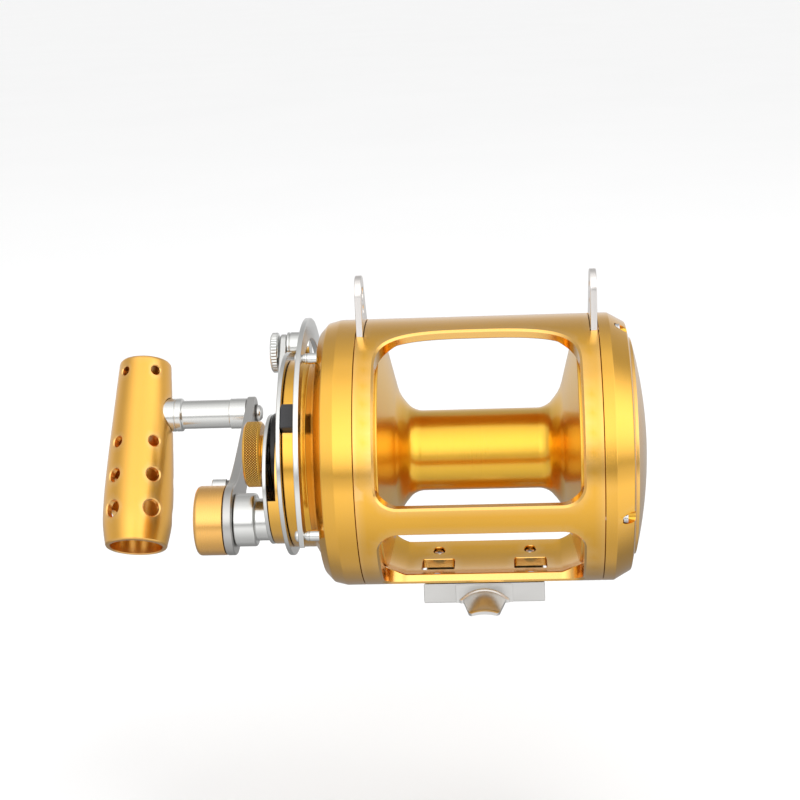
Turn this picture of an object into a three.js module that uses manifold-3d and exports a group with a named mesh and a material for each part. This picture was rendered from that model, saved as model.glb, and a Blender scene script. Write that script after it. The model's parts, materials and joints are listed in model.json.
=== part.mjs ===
// Two-speed lever-drag trolling reel, in millimetres, +Z up.
// X runs along the spool axis with the crank on the -X side, and -Y is the rod-tip side.
// The origin is the middle of the foot's flat underside, where the reel sits on a rod.
import * as THREE from 'three';
import { mergeVertices } from 'three/addons/utils/BufferGeometryUtils.js';
import Module from 'manifold-3d';

const wasm = await Module();
wasm.setup();

// ---- Driving dimensions ----------------------------------------------------------------
const GAP = 0.3; // air left between two pieces that touch on the real reel
const PLATE_R = 65; // outer radius of the frame and both side plates
const AXIS_Z = 72; // height of the spool axis over the foot's underside
const SEAM_X = 57.1; // the joints between frame and side plates
const RING_BORE_R = 56.6; // the frame rings that the spool flanges run in
const BAR_INNER_R = 60.4; // inner face of the frame's bars
const WINDOW_HALF = 47.6; // half length of the frame's windows
const SPOOL_R = 56;
const ARBOR_R = 19.6;
const SHAFT_R = 5;
const DRIVE_DROP = 34; // drive axis below the spool axis
const MODULE = 1; // gear tooth size
const HIGH_TEETH = [51, 17];
const LOW_TEETH = [38, 30];
const LUG_THICK = 3.2;
const CRANK_LENGTH = 91.5;
const CRANK_LEAN = 69.7; // degrees, from straight up towards the rear
const LEVER_ANGLE = 137; // degrees, free-spool rest position of the drag lever
const KNOB_TILT = 35; // degrees, lower end of the handle knob leans to the rod tip
const KNOB_X = -185.3;

const GOLD = { color: 0xe6a83a, roughness: 0.35, metalness: 1 };
const SILVER = { color: 0xd8d8d6, roughness: 0.3, metalness: 1 };
const STEEL = { color: 0x9c9a97, roughness: 0.35, metalness: 1 };
const ARM_GREY = { color: 0xa6a39f, roughness: 0.4, metalness: 1 };
const BLACK = { color: 0x1c1c1e, roughness: 0.5, metalness: 0 };
const CARBON = { color: 0x26282a, roughness: 0.6, metalness: 0 };

const ROUND = 36; // flats around the large turned pieces

// ---- Making solids ---------------------------------------------------------------------
const radians = THREE.MathUtils.degToRad;

// Angles about an X axis start at the rod-tip side (-Y) and grow upwards.
function polar(angle, radius) {
  return [-radius * Math.cos(radians(angle)), radius * Math.sin(radians(angle))];
}

// A closed three.js geometry as a solid, faces out.
function toSolid(geometry) {
  const bare = geometry.clone();
  bare.deleteAttribute('normal');
  bare.deleteAttribute('uv');
  const welded = mergeVertices(bare, 1e-4);
  const points = welded.getAttribute('position').array;
  const corner = (i) => new THREE.Vector3().fromArray(points, 3 * i);
  const triangles = [];
  let volume = 0;
  for (let i = 0; i < welded.index.count; i += 3) {
    const [a, b, c] = welded.index.array.slice(i, i + 3);
    if (a !== b && b !== c && c !== a) {
      triangles.push([a, b, c]);
      volume += corner(a).dot(corner(b).cross(corner(c)));
    }
  }
  const wound = volume > 0 ? triangles : triangles.map(([a, b, c]) => [a, c, b]);
  const mesh = new wasm.Mesh({
    numProp: 3,
    vertProperties: Float32Array.from(points),
    triVerts: Uint32Array.from(wound.flat()),
  });
  return new wasm.Manifold(mesh);
}

function toGeometry(solid) {
  const mesh = solid.getMesh();
  const geometry = new THREE.BufferGeometry();
  geometry.setAttribute('position', new THREE.BufferAttribute(mesh.vertProperties, 3));
  geometry.setIndex(new THREE.BufferAttribute(mesh.triVerts, 1));
  const flat = geometry.toNonIndexed();
  flat.computeVertexNormals();
  return flat;
}

// A closed outline of [x, radius] points turned about a line parallel to X.
function turned(outline, { segments = 32, y = 0, z = 0, start = 0 } = {}) {
  const closed = [...outline, outline[0]];
  const profile = closed.map(([x, radius]) => new THREE.Vector2(radius, x));
  const geometry = new THREE.LatheGeometry(profile, segments, start);
  return toSolid(geometry.rotateZ(-Math.PI / 2).translate(0, y, z));
}

function rod(x0, x1, radius, options = {}) {
  return turned([[x0, 0], [x0, radius], [x1, radius], [x1, 0]], options);
}

function tube(x0, x1, outer, inner, options = {}) {
  return turned([[x0, inner], [x0, outer], [x1, outer], [x1, inner]], options);
}

// A flat plate across X from a THREE.Shape drawn in Y and Z.
function plate(shape, x0, x1, curveSegments = 12) {
  const options = { depth: x1 - x0, bevelEnabled: false, curveSegments };
  const geometry = new THREE.ExtrudeGeometry(shape, options);
  const [alongY, alongZ, alongX] = [
    new THREE.Vector3(0, 1, 0), new THREE.Vector3(0, 0, 1), new THREE.Vector3(1, 0, 0),
  ];
  geometry.applyMatrix4(new THREE.Matrix4().makeBasis(alongY, alongZ, alongX));
  return toSolid(geometry.translate(x0, 0, 0));
}

// A box given by its lowest and highest corners.
function block([x0, y0, z0], [x1, y1, z1]) {
  const geometry = new THREE.BoxGeometry(x1 - x0, y1 - y0, z1 - z0);
  return toSolid(geometry.translate((x0 + x1) / 2, (y0 + y1) / 2, (z0 + z1) / 2));
}

// A box on a ray from the spool axis: across is its width around the axis.
function radialBlock([x0, x1], [r0, r1], across, angle) {
  const geometry = new THREE.BoxGeometry(x1 - x0, r1 - r0, across);
  geometry.translate((x0 + x1) / 2, -(r0 + r1) / 2, 0).rotateX(-radians(angle));
  return toSolid(geometry);
}

// A ring sector between two radii and two angles.
function sectorShape(inner, outer, from, to) {
  const shape = new THREE.Shape();
  const turn = (angle) => Math.PI - radians(angle);
  shape.absarc(0, 0, outer, turn(from), turn(to), true);
  shape.absarc(0, 0, inner, turn(to), turn(from), false);
  shape.closePath();
  return shape;
}

function circleShape(y, z, radius) {
  return new THREE.Path().absarc(y, z, radius, 0, 2 * Math.PI, false);
}

// A solid through equal closed rings of points, with flat ends.
function loft(rings) {
  const count = rings[0].length;
  const positions = rings.flat().flatMap((point) => point.toArray());
  const indices = [];
  for (let k = 0; k + 1 < rings.length; k += 1) {
    for (let i = 0; i < count; i += 1) {
      const [low, next] = [k * count + i, k * count + ((i + 1) % count)];
      indices.push(low, next, next + count, low, next + count, low + count);
    }
  }
  const last = (rings.length - 1) * count;
  for (const [a, b, c] of capTriangles(rings[0])) indices.push(c, b, a);
  for (const [a, b, c] of capTriangles(rings.at(-1))) indices.push(last + a, last + b, last + c);
  const geometry = new THREE.BufferGeometry();
  geometry.setAttribute('position', new THREE.Float32BufferAttribute(positions, 3));
  return toSolid(geometry.setIndex(indices));
}

// Triangles over a flat ring, all wound the way the ring runs.
function capTriangles(ring) {
  const normal = new THREE.Vector3();
  ring.forEach((point, i) => {
    normal.add(point.clone().cross(ring[(i + 1) % ring.length]));
  });
  normal.normalize();
  const across = ring[1].clone().sub(ring[0]).normalize();
  const up = normal.clone().cross(across);
  const flat = ring.map((point) => new THREE.Vector2(point.dot(across), point.dot(up)));
  return THREE.ShapeUtils.triangulateShape(flat, []).map(([a, b, c]) => {
    const clockwise = THREE.ShapeUtils.area([flat[a], flat[b], flat[c]]) < 0;
    return clockwise ? [a, c, b] : [a, b, c];
  });
}

const cut = (solid, ...tools) => tools.reduce((left, tool) => left.subtract(tool), solid);
const join = (solid, ...more) => more.reduce((whole, piece) => whole.add(piece), solid);
const mirrored = (outline) => outline.map(([x, radius]) => [-x, radius]);

// ---- The assembly ----------------------------------------------------------------------
const reel = new THREE.Group();
reel.position.z = AXIS_Z; // everything below is placed from the spool axis

function add(name, solid, look, parent = reel) {
  const mesh = new THREE.Mesh(toGeometry(solid), new THREE.MeshStandardMaterial(look));
  mesh.name = name;
  parent.add(mesh);
  return mesh;
}

// ---- Frame -----------------------------------------------------------------------------
const FRAME_HALF = SEAM_X - GAP / 2;
const BAR_EDGES = { topFront: 76, topRear: 114, front: [-20.8, -7.9], foot: [-113, -67] };
const LUG_X = FRAME_HALF - GAP - LUG_THICK; // inner face of a harness lug
const LUG_Y = [-19, 10]; // front and rear of a lug's base
const LUG_BASE_Z = 57.9;
const FOOT_HOLE = { x: 23, y: 16 }; // foot screws, from the middle of the foot
const FOOT_POCKET = { half: 7.9, front: -6, rear: 8 };
const FOOT_SCREW = { head: 2.5, headTop: -58.9, headBottom: -60.3, tip: -69.2, shank: 1.5 };
const COVER_SCREW = { radius: 61, angles: [81, -16, -106, 174], hole: 1.7 };

// The width of a window near one of its ends: a corner of the given reach and roundness.
function windowHalfWidth(distance, reach, roundness) {
  if (distance >= reach) return WINDOW_HALF;
  const flat = 1 - reach / WINDOW_HALF;
  const arc = (1 - (1 - distance / reach) ** roundness) ** (1 / roundness);
  const start = roundness > 2 ? 0 : flat;
  return WINDOW_HALF * (start + (1 - start) * arc);
}

// One window between two bars: a wide sector of the wall whose corners are rounded.
function windowTool(from, to, fromCorner, toCorner) {
  const degreesPerMm = 180 / (Math.PI * PLATE_R);
  const steps = [0.004, 0.05, 0.15, 0.3, 0.55, 1];
  const angles = [
    ...steps.map((step) => from + step * fromCorner.reach * degreesPerMm),
    ...steps.map((step) => to - step * toCorner.reach * degreesPerMm).reverse(),
  ];
  const middle = Math.max(1, Math.round((angles[6] - angles[5]) / 12));
  for (let i = middle - 1; i > 0; i -= 1) {
    angles.splice(6, 0, angles[5] + ((angles.at(-6) - angles[5]) * i) / middle);
  }
  return loft(angles.map((angle) => {
    const fromStart = windowHalfWidth((angle - from) / degreesPerMm, fromCorner.reach, fromCorner.round);
    const toEnd = windowHalfWidth((to - angle) / degreesPerMm, toCorner.reach, toCorner.round);
    const half = Math.min(fromStart, toEnd);
    return [[-half, 50], [half, 50], [half, 70], [-half, 70]].map(([x, radius]) => {
      const [y, z] = polar(angle, radius);
      return new THREE.Vector3(x, y, z);
    });
  }));
}

function frameBlank() {
  const half = [
    [0, BAR_INNER_R], [38, BAR_INNER_R], [WINDOW_HALF, RING_BORE_R], [FRAME_HALF, RING_BORE_R],
    [FRAME_HALF, PLATE_R],
  ];
  return turned([...half, ...mirrored(half.slice(1)).reverse()], { segments: ROUND });
}

function makeFrame() {
  const square = { reach: 10, round: 2 };
  const swept = { reach: 28, round: 3 };
  const windows = [
    windowTool(BAR_EDGES.front[1], BAR_EDGES.topFront, square, swept),
    windowTool(BAR_EDGES.foot[1], BAR_EDGES.front[0], square, square),
    windowTool(BAR_EDGES.topRear, 360 + BAR_EDGES.foot[0], swept, square),
  ];
  const slots = [-1, 1].map((side) => {
    const [near, far] = [side * (LUG_X - GAP), side * (FRAME_HALF + 1)].sort((a, b) => a - b);
    return block([near, LUG_Y[0] - GAP, LUG_BASE_Z - GAP], [far, LUG_Y[1] + GAP, PLATE_R + 5]);
  });
  const pockets = [-1, 1].map((side) => {
    const x = side * FOOT_HOLE.x;
    return block([x - FOOT_POCKET.half, FOOT_POCKET.front, -PLATE_R - 1],
      [x + FOOT_POCKET.half, FOOT_POCKET.rear, -50]);
  });
  const footHoles = footScrewPlaces().flatMap(([x, y]) => [
    uprightRod(x, y, FOOT_SCREW.headBottom - GAP, -50, FOOT_SCREW.head + GAP),
    uprightRod(x, y, -70, -55, FOOT_SCREW.shank + GAP),
  ]);
  const coverHoles = COVER_SCREW.angles.map((angle) => {
    const [y, z] = polar(angle, COVER_SCREW.radius);
    return rod(49, FRAME_HALF + 1, COVER_SCREW.hole, { segments: 8, y, z });
  });
  return cut(frameBlank(), ...windows, ...slots, ...pockets, ...footHoles, ...coverHoles);
}

function uprightRod(x, y, z0, z1, radius, segments = 12) {
  const geometry = new THREE.CylinderGeometry(radius, radius, z1 - z0, segments);
  return toSolid(geometry.rotateX(Math.PI / 2).translate(x, y, (z0 + z1) / 2));
}

function footScrewPlaces() {
  const signs = [[-1, -1], [1, -1], [-1, 1], [1, 1]];
  return signs.map(([sx, sy]) => [sx * FOOT_HOLE.x, sy * FOOT_HOLE.y]);
}

add('frame', makeFrame(), GOLD);

// ---- Harness lugs ----------------------------------------------------------------------
const LUG_HOLE = { y: -10, z: 80.7, radius: 3.5, drop: 7.6, small: 2.6 };
const LUG_TOP_R = 9;

function lugShape() {
  const shape = new THREE.Shape();
  shape.moveTo(LUG_Y[0], LUG_BASE_Z);
  shape.lineTo(LUG_Y[1], LUG_BASE_Z);
  shape.lineTo(LUG_Y[1], LUG_BASE_Z + 6);
  shape.lineTo(LUG_HOLE.y + LUG_TOP_R * 0.97, LUG_HOLE.z + 2);
  shape.absarc(LUG_HOLE.y, LUG_HOLE.z, LUG_TOP_R, 0.25, Math.PI, false);
  shape.lineTo(LUG_Y[0], LUG_HOLE.z);
  shape.closePath();
  shape.holes.push(circleShape(LUG_HOLE.y, LUG_HOLE.z, LUG_HOLE.radius));
  shape.holes.push(circleShape(LUG_HOLE.y, LUG_HOLE.z - LUG_HOLE.drop, LUG_HOLE.small));
  const screwHole = polar(COVER_SCREW.angles[0], COVER_SCREW.radius);
  shape.holes.push(circleShape(...screwHole, COVER_SCREW.hole));
  return shape;
}

add('harness_lug_crank_side', plate(lugShape(), -LUG_X - LUG_THICK, -LUG_X, 8), SILVER);
add('harness_lug_far_side', plate(lugShape(), LUG_X, LUG_X + LUG_THICK, 8), SILVER);

// ---- Foot ------------------------------------------------------------------------------
const FOOT = { half: 29.5, depth: 21, bottom: -AXIS_Z, saddle: PLATE_R + 0.5 };
const TONGUE = {
  reach: 39.5, root: { half: 10.65, crown: -65.4, edge: -69.8 },
  tip: { half: 7.2, crown: -69, edge: -70.2 },
};

// A tongue's arched section: [x, z] points over the top and back underneath.
function tongueSection(along, narrowing) {
  const mix = (key) => THREE.MathUtils.lerp(TONGUE.root[key], TONGUE.tip[key], along);
  const [half, crown, edge] = [mix('half') * narrowing, mix('crown'), mix('edge')];
  const steps = 6;
  const points = [];
  for (let i = 0; i <= steps; i += 1) {
    const side = (2 * i) / steps - 1;
    points.push([half * side, edge + (crown - edge) * (1 - side * side)]);
  }
  const floor = FOOT.bottom;
  const under = points.map(([x, z]) => [x, floor + GAP + (z - edge) * 0.95]).reverse();
  return [...points, ...under];
}

function tongue(side) {
  const stations = [[-0.12, 1], [0, 1], [0.5, 1], [0.85, 1], [0.96, 0.9], [1, 0.7]];
  return loft(stations.map(([along, narrowing]) => {
    const y = side * (FOOT.depth + (TONGUE.reach - FOOT.depth) * along);
    return tongueSection(along, narrowing).map(([x, z]) => new THREE.Vector3(x, y, z));
  }));
}

const STUD_HOLE_R = 3.5;

function makeFoot() {
  const base = block([-FOOT.half, -FOOT.depth, FOOT.bottom], [FOOT.half, FOOT.depth, -60]);
  const saddle = rod(-FOOT.half - 1, FOOT.half + 1, FOOT.saddle, { segments: ROUND });
  const studs = [-1, 1].map((side) => uprightRod(side * FOOT_HOLE.x, 0, -75, -60, STUD_HOLE_R));
  const screws = footScrewPlaces().map(([x, y]) => (
    uprightRod(x, y, FOOT_SCREW.tip - 2 * GAP, -50, FOOT_SCREW.shank + GAP)
  ));
  return cut(join(cut(base, saddle), tongue(-1), tongue(1)), ...studs, ...screws);
}

add('reel_foot', makeFoot(), SILVER);
footScrewPlaces().forEach(([x, y], i) => {
  const head = uprightRod(x, y, FOOT_SCREW.headBottom, FOOT_SCREW.headTop, FOOT_SCREW.head);
  const shank = uprightRod(x, y, FOOT_SCREW.tip, FOOT_SCREW.headTop - 0.5, FOOT_SCREW.shank);
  add(`foot_screw_${i + 1}`, join(head, shank), STEEL);
});

// ---- Far-side plate, its cap and cover screws ------------------------------------------
const FAR_CAP_R = 52.6;
const FAR_FACE = 71; // where the cap sits on the plate
const SCREW_SEAT = 64.8;

function makeFarPlate() {
  const outline = [
    [SEAM_X + GAP / 2, RING_BORE_R + 1], [SEAM_X + GAP / 2, PLATE_R], [62.5, PLATE_R],
    [70.7, 60.3], [72, 54.4], [FAR_FACE, 53.4], [FAR_FACE, SHAFT_R + 0.5], [60, SHAFT_R + 0.5],
    [60, 13], [68.5, 13], [68.5, RING_BORE_R - 2.4], [64.5, RING_BORE_R + 1],
  ];
  const screwSeats = COVER_SCREW.angles.flatMap((angle) => {
    const [y, z] = polar(angle, COVER_SCREW.radius);
    return [
      rod(SCREW_SEAT, 75, 2.9, { segments: 12, y, z }),
      rod(50, 70, COVER_SCREW.hole, { segments: 8, y, z }),
    ];
  });
  return cut(turned(outline, { segments: ROUND }), ...screwSeats);
}

function domePoint(turn, inset) {
  const [base, height] = [73.3 - inset, 6.8];
  return [base + height * Math.sin(turn) ** 2, (FAR_CAP_R - inset) * Math.cos(turn)];
}

function makeFarCap() {
  const turns = [0.1, 0.5, 1, Math.PI / 2];
  const outer = turns.map((turn) => domePoint(turn, 0));
  const inner = turns.map((turn) => domePoint(turn, 2.5)).reverse();
  const rim = [[FAR_FACE + GAP, FAR_CAP_R - 3], [FAR_FACE + GAP, FAR_CAP_R]];
  return turned([...rim, ...outer, ...inner.slice(0, -1)], { segments: ROUND });
}

add('far_side_plate', makeFarPlate(), GOLD);
add('far_side_cap', makeFarCap(), GOLD);
COVER_SCREW.angles.forEach((angle, i) => {
  const [y, z] = polar(angle, COVER_SCREW.radius);
  const head = rod(SCREW_SEAT + GAP, SCREW_SEAT + 2.6, 2.5, { segments: 10, y, z });
  const shank = rod(49.4, SCREW_SEAT + 1, 1.3, { segments: 8, y, z });
  add(`cover_screw_${i + 1}`, join(head, shank), SILVER);
});

// ---- Crank-side plate ------------------------------------------------------------------
const HUB = { radius: 46, wall: 43, end: -91.7, floor: -88.7 }; // drum behind the cover disc
const STRIKE = { angle: 36.5, x: [-92 + GAP, -85.8], across: 11.8, r: [42, 52], travel: 2 };
const CLICKER = { angle: 135, x: [-73.4, -65.4], across: 10.5, r: [65.4, 69.8], travel: 4.5 };
const POST = { radius: 61.5, angles: [-21.8, 62.5, 148], shaft: 2.6, seat: -74.3 }; // quadrant posts
const DRIVE_BEARING = { outer: 10, inner: 6.3, x: [-91.4, -85.6] };
const PINION_BEARING = { outer: 12, inner: 7.9, x: [-80.3, -75.3] };

function makeCrankPlate() {
  const outer = [
    [-SEAM_X - GAP / 2, 61.5], [-SEAM_X - GAP / 2, PLATE_R], [-66, PLATE_R], [-72, 63.5],
    [-75.7, 59.4], [-77.4, 52], [-80.7, HUB.radius],
    [HUB.end, HUB.radius],
  ];
  const [, bearingEnd] = PINION_BEARING.x;
  const boreSide = [
    [HUB.end, SHAFT_R + 0.5], [-80.6, SHAFT_R + 0.5], [-80.6, PINION_BEARING.outer + 0.3],
    [bearingEnd, PINION_BEARING.outer + 0.3], [bearingEnd, 16], [HUB.floor, 16],
    [HUB.floor, HUB.wall], [-77.5, HUB.wall], [-74.5, 49], [-72.6, 57.5], [-67, 61.5],
  ];
  const driveBoss = rod(HUB.floor - 1, DRIVE_BEARING.x[1], 13, { z: -DRIVE_DROP, segments: 24 });
  const drum = rod(HUB.end, -80, HUB.radius - 0.5, { segments: ROUND });
  const shell = join(turned([...outer, ...boreSide], { segments: ROUND }), driveBoss.intersect(drum));
  const driveSeat = rod(-93, -84, DRIVE_BEARING.outer + 0.4, { z: -DRIVE_DROP, segments: 24 });
  const strikeHole = radialBlock([HUB.end - 1, STRIKE.x[1] + 0.35], [38, 50],
    STRIKE.across + 0.7, STRIKE.angle);
  const clickerSlot = radialBlock([-71.4, -61.8], [56, 70], 4.4, CLICKER.angle);
  const postSeats = POST.angles.map((angle) => {
    const [y, z] = polar(angle, POST.radius);
    return rod(-80, POST.seat, POST.shaft + GAP, { segments: 12, y, z });
  });
  return cut(shell, driveSeat, strikeHole, clickerSlot, ...postSeats);
}

add('crank_side_plate', makeCrankPlate(), GOLD);
add('drive_bearing', tube(...DRIVE_BEARING.x, DRIVE_BEARING.outer, DRIVE_BEARING.inner,
  { z: -DRIVE_DROP, segments: 16 }), STEEL);
add('pinion_bearing', tube(PINION_BEARING.x[0], PINION_BEARING.x[1], PINION_BEARING.outer,
  PINION_BEARING.inner, { segments: 16 }), STEEL);

// ---- Quadrant plate and its posts ------------------------------------------------------
const QUADRANT = { x: [-84, -81.5], inner: 56.4, outer: 66.5, from: -25.2, to: 152 };

function makeQuadrant() {
  const band = plate(sectorShape(QUADRANT.inner, QUADRANT.outer, QUADRANT.from, QUADRANT.to),
    ...QUADRANT.x, 20);
  const holes = POST.angles.map((angle) => {
    const [y, z] = polar(angle, POST.radius);
    return rod(-90, -78, 1.9, { segments: 8, y, z });
  });
  return cut(band, ...holes);
}

add('drag_quadrant', makeQuadrant(), SILVER);
POST.angles.forEach((angle, i) => {
  const [y, z] = polar(angle, POST.radius);
  const spacer = rod(QUADRANT.x[1] + GAP, POST.seat - GAP, POST.shaft, { segments: 12, y, z });
  const pin = rod(-85, QUADRANT.x[1] + 1, 1.5, { segments: 8, y, z });
  const head = i === 0 ? [rod(-86.1, QUADRANT.x[0] - GAP, 2.8, { segments: 12, y, z })] : [];
  add(`quadrant_post_${i + 1}`, join(spacer, pin, ...head), SILVER);
});

// ---- Cover disc, bridge housing and bridge plate ---------------------------------------
const DISC = { x: [-94.2, -92], radius: 50 };
const BRIDGE = { z: -13, radius: 32, x: [-101.9, -94.5], slotFloor: -98, slotBottom: -14.1 };
const SLEEVE = { wide: 13.3, step: -112.2, narrow: 10.5, hole: 10.95 };

const spoolHole = rod(-110, -80, SHAFT_R + 0.5, { segments: 16 });
const sleeveHole = rod(-110, -80, SLEEVE.hole, { z: -DRIVE_DROP, segments: 24 });
add('cover_disc', cut(rod(...DISC.x, DISC.radius, { segments: ROUND }), spoolHole, sleeveHole), SILVER);

function makeBridge() {
  const body = rod(...BRIDGE.x, BRIDGE.radius, { z: BRIDGE.z, segments: 36 });
  const leverSlot = block([BRIDGE.x[0] - 1, -40, BRIDGE.slotBottom], [BRIDGE.slotFloor, 40, 40]);
  const hubSeat = rod(BRIDGE.x[0] - 1, BRIDGE.slotFloor, 20.7, { segments: 32 });
  const camSeat = rod(BRIDGE.slotFloor - 1, -95.2, 12.6, { segments: 24 });
  return cut(body, leverSlot, hubSeat, camSeat, spoolHole, sleeveHole);
}

add('bridge_housing', makeBridge(), GOLD);
const bridgePlateBody = rod(-104.1, -102.2, BRIDGE.radius, { z: BRIDGE.z, segments: 36 });
add('bridge_plate', cut(bridgePlateBody, rod(-110, -100, 8, { segments: 20 }), sleeveHole), SILVER);

// ---- Drag lever ------------------------------------------------------------------------
const LEVER = { x: [-101.6, -98.3], hub: 20, width: 12, knobR: 60, barrelR: 64 };

function makeLever() {
  const hub = rod(...LEVER.x, LEVER.hub, { segments: 32 });
  const arm = radialBlock(LEVER.x, [10, LEVER.barrelR], LEVER.width, LEVER_ANGLE);
  const [y, z] = polar(LEVER_ANGLE, LEVER.barrelR);
  const boss = rod(...LEVER.x, LEVER.width / 2, { segments: 16, y, z });
  return cut(join(hub, arm, boss), spoolHole);
}

add('drag_lever', makeLever(), SILVER);
add('drag_cam', tube(LEVER.x[1] + GAP, -95.5, 12, SHAFT_R + 0.6, { segments: 20 }), STEEL);
{
  const [y, z] = polar(LEVER_ANGLE, LEVER.knobR);
  const outline = [[-106.1, 0], [-106.1, 9.3], [-105.4, 10.25], [-102.7, 10.25], [-102, 8.6], [-102, 0]];
  add('lever_thumb_knob', turned(outline, { segments: 20, y, z }), STEEL);
}
{
  const [y, z] = polar(LEVER_ANGLE, LEVER.barrelR);
  add('lever_barrel', rod(LEVER.x[1] + GAP, -86.4, 7, { segments: 20, y, z }), STEEL);
}

// ---- Preset knob and strike button -----------------------------------------------------
function makePresetKnob() {
  const outline = [
    [-115.6, 0], [-115.6, 15.2], [-114.6, 16.2], [-108.1, 16.2], [-107.1, 15.2], [-107.1, 9.5],
    [-104.4, 9.5], [-104.4, SHAFT_R + 0.5], [-112.8, SHAFT_R + 0.5], [-112.8, 0],
  ];
  return turned(outline, { segments: 28 });
}

add('preset_knob', makePresetKnob(), GOLD);
add('strike_button', radialBlock(STRIKE.x, STRIKE.r, STRIKE.across, STRIKE.angle), BLACK);

// ---- Clicker ---------------------------------------------------------------------------
function makeClickerTongue() {
  const web = radialBlock([-70.2, -67.4], [49.9, 65], 3.4, CLICKER.angle);
  const blade = radialBlock([-70.2, -53.8], [49.9, 52.1], 3.4, CLICKER.angle);
  return join(web, blade);
}

const clickerCap = radialBlock(CLICKER.x, CLICKER.r, CLICKER.across, CLICKER.angle);
add('clicker_button', clickerCap, BLACK);
add('clicker_tongue', makeClickerTongue(), STEEL);

// ---- Spool group -----------------------------------------------------------------------
const CLICK_WHEEL = { tip: 49.5, root: 48, teeth: 18, x: [-50.2, -48.4] };

function spoolOutline() {
  const face = [[46.5, SPOOL_R], [44.6, 49], [38.6, 27], [35.5, 22], [30.5, ARBOR_R]];
  const farSide = [
    [50.5, SPOOL_R], [50.5, 53], [47.6, 51.5], [42.6, 27], [42.6, 16], [50.5, 16],
    [50.5, 11.3], [43.4, 11.3], [43.4, 8.5],
  ];
  const crankSide = [
    [-41.4, 8.5], [-41.4, 11.3], [-48, 11.3], [-48, 53], [-50.5, 53.2], [-50.5, SPOOL_R],
  ];
  return [...mirrored(face), ...face.toReversed(), ...farSide, ...crankSide];
}

add('spool', turned(spoolOutline(), { segments: ROUND }), GOLD);
const BEARING = { outer: 11, inner: 5.3 };
add('spool_bearing_crank_side', tube(-47.7, -41.7, BEARING.outer, BEARING.inner, { segments: 16 }), STEEL);
add('spool_bearing_far_side', tube(43.7, 49.9, BEARING.outer, BEARING.inner, { segments: 16 }), STEEL);
add('bearing_spacer', tube(-41.2, 43.2, 7.4, 5.5, { segments: 14 }), SILVER);
add('drag_washer', tube(-49.7, -48.3, 45, 24, { segments: 36 }), CARBON);

function toothedRing({ teeth, tip, root, bore, x, lean }) {
  const shape = new THREE.Shape();
  for (let i = 0; i < teeth; i += 1) {
    const pitch = 360 / teeth;
    const corners = [[0, root], [lean, tip], [lean + 0.12, tip], [0.8, root]];
    for (const [along, radius] of corners) {
      const [y, z] = polar((i + along) * pitch, radius);
      if (i === 0 && along === 0) shape.moveTo(y, z);
      else shape.lineTo(y, z);
    }
  }
  shape.closePath();
  shape.holes.push(circleShape(0, 0, bore));
  return plate(shape, ...x, 10);
}

add('clicker_wheel', toothedRing({ ...CLICK_WHEEL, bore: 45.9, lean: 0.34 }), STEEL);
add('spool_shaft', rod(-110, FAR_FACE, SHAFT_R, { segments: 16 }), STEEL);

// ---- Drive plate, ratchet and pinions --------------------------------------------------
function involute(pressure) {
  return Math.tan(pressure) - pressure;
}

// A spur gear's outline: each tooth has straight or one-bend flanks along the involute.
function gearShape(teeth, y0, z0, firstTooth, bore, midPoint) {
  const pitchR = (MODULE * teeth) / 2;
  const baseR = pitchR * Math.cos(radians(20));
  const backlash = 0.3;
  const halfAtPitch = ((Math.PI * MODULE) / 2 - backlash) / 2 / pitchR;
  const halfAngle = (radius) => {
    const pressure = Math.acos(Math.min(1, baseR / radius));
    return halfAtPitch + involute(radians(20)) - involute(pressure);
  };
  const [rootR, tipR] = [pitchR - 1.25 * MODULE, pitchR + MODULE - 0.05];
  const radii = midPoint ? [rootR, pitchR, tipR] : [rootR, tipR];
  const shape = new THREE.Shape();
  for (let i = 0; i < teeth; i += 1) {
    const centre = firstTooth + (i * 2 * Math.PI) / teeth;
    const flank = radii.map((radius) => [radius, halfAngle(Math.max(radius, baseR))]);
    const points = [
      ...flank.map(([radius, half]) => [radius, centre - half]),
      ...flank.toReversed().map(([radius, half]) => [radius, centre + half]),
    ];
    points.forEach(([radius, angle], k) => {
      const [y, z] = [y0 + radius * Math.cos(angle), z0 + radius * Math.sin(angle)];
      if (i === 0 && k === 0) shape.moveTo(y, z);
      else shape.lineTo(y, z);
    });
  }
  shape.closePath();
  shape.holes.push(circleShape(y0, z0, bore));
  return shape;
}

// The wheel has a gap, and its pinion a tooth, on the line between the two axes.
function makeGearPair([wheelTeeth, pinionTeeth], x, wheelBore) {
  const halfPitch = Math.PI / wheelTeeth;
  const wheel = gearShape(wheelTeeth, 0, -DRIVE_DROP, Math.PI / 2 + halfPitch, wheelBore, false);
  const pinion = gearShape(pinionTeeth, 0, 0, -Math.PI / 2, SHAFT_R + 0.4, pinionTeeth < 20);
  return [plate(wheel, ...x, 8), plate(pinion, x[0] - GAP, x[1] + GAP, 8)];
}

const HIGH_X = [-65.3, -60.7];
const LOW_X = [-72.3, -67.7];
const DRIVE_SHAFT_R = 6;
const [highWheel, highPinion] = makeGearPair(HIGH_TEETH, HIGH_X, DRIVE_SHAFT_R + 0.3);
const [lowWheel, lowPinion] = makeGearPair(LOW_TEETH, LOW_X, DRIVE_SHAFT_R + 0.4);
const pinionSleeve = tube(-80.2, LOW_X[0] - GAP, 7.4, SHAFT_R + 0.4, { segments: 16 });

function makeDragPlate() {
  const outline = [
    [-60.1, SHAFT_R + 0.4], [-60.1, 7], [-53, 7], [-53, 45], [-50.8, 45], [-50.8, 16],
    [-51.6, 14], [-51.6, SHAFT_R + 0.4],
  ];
  return turned(outline, { segments: 36 });
}

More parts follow.
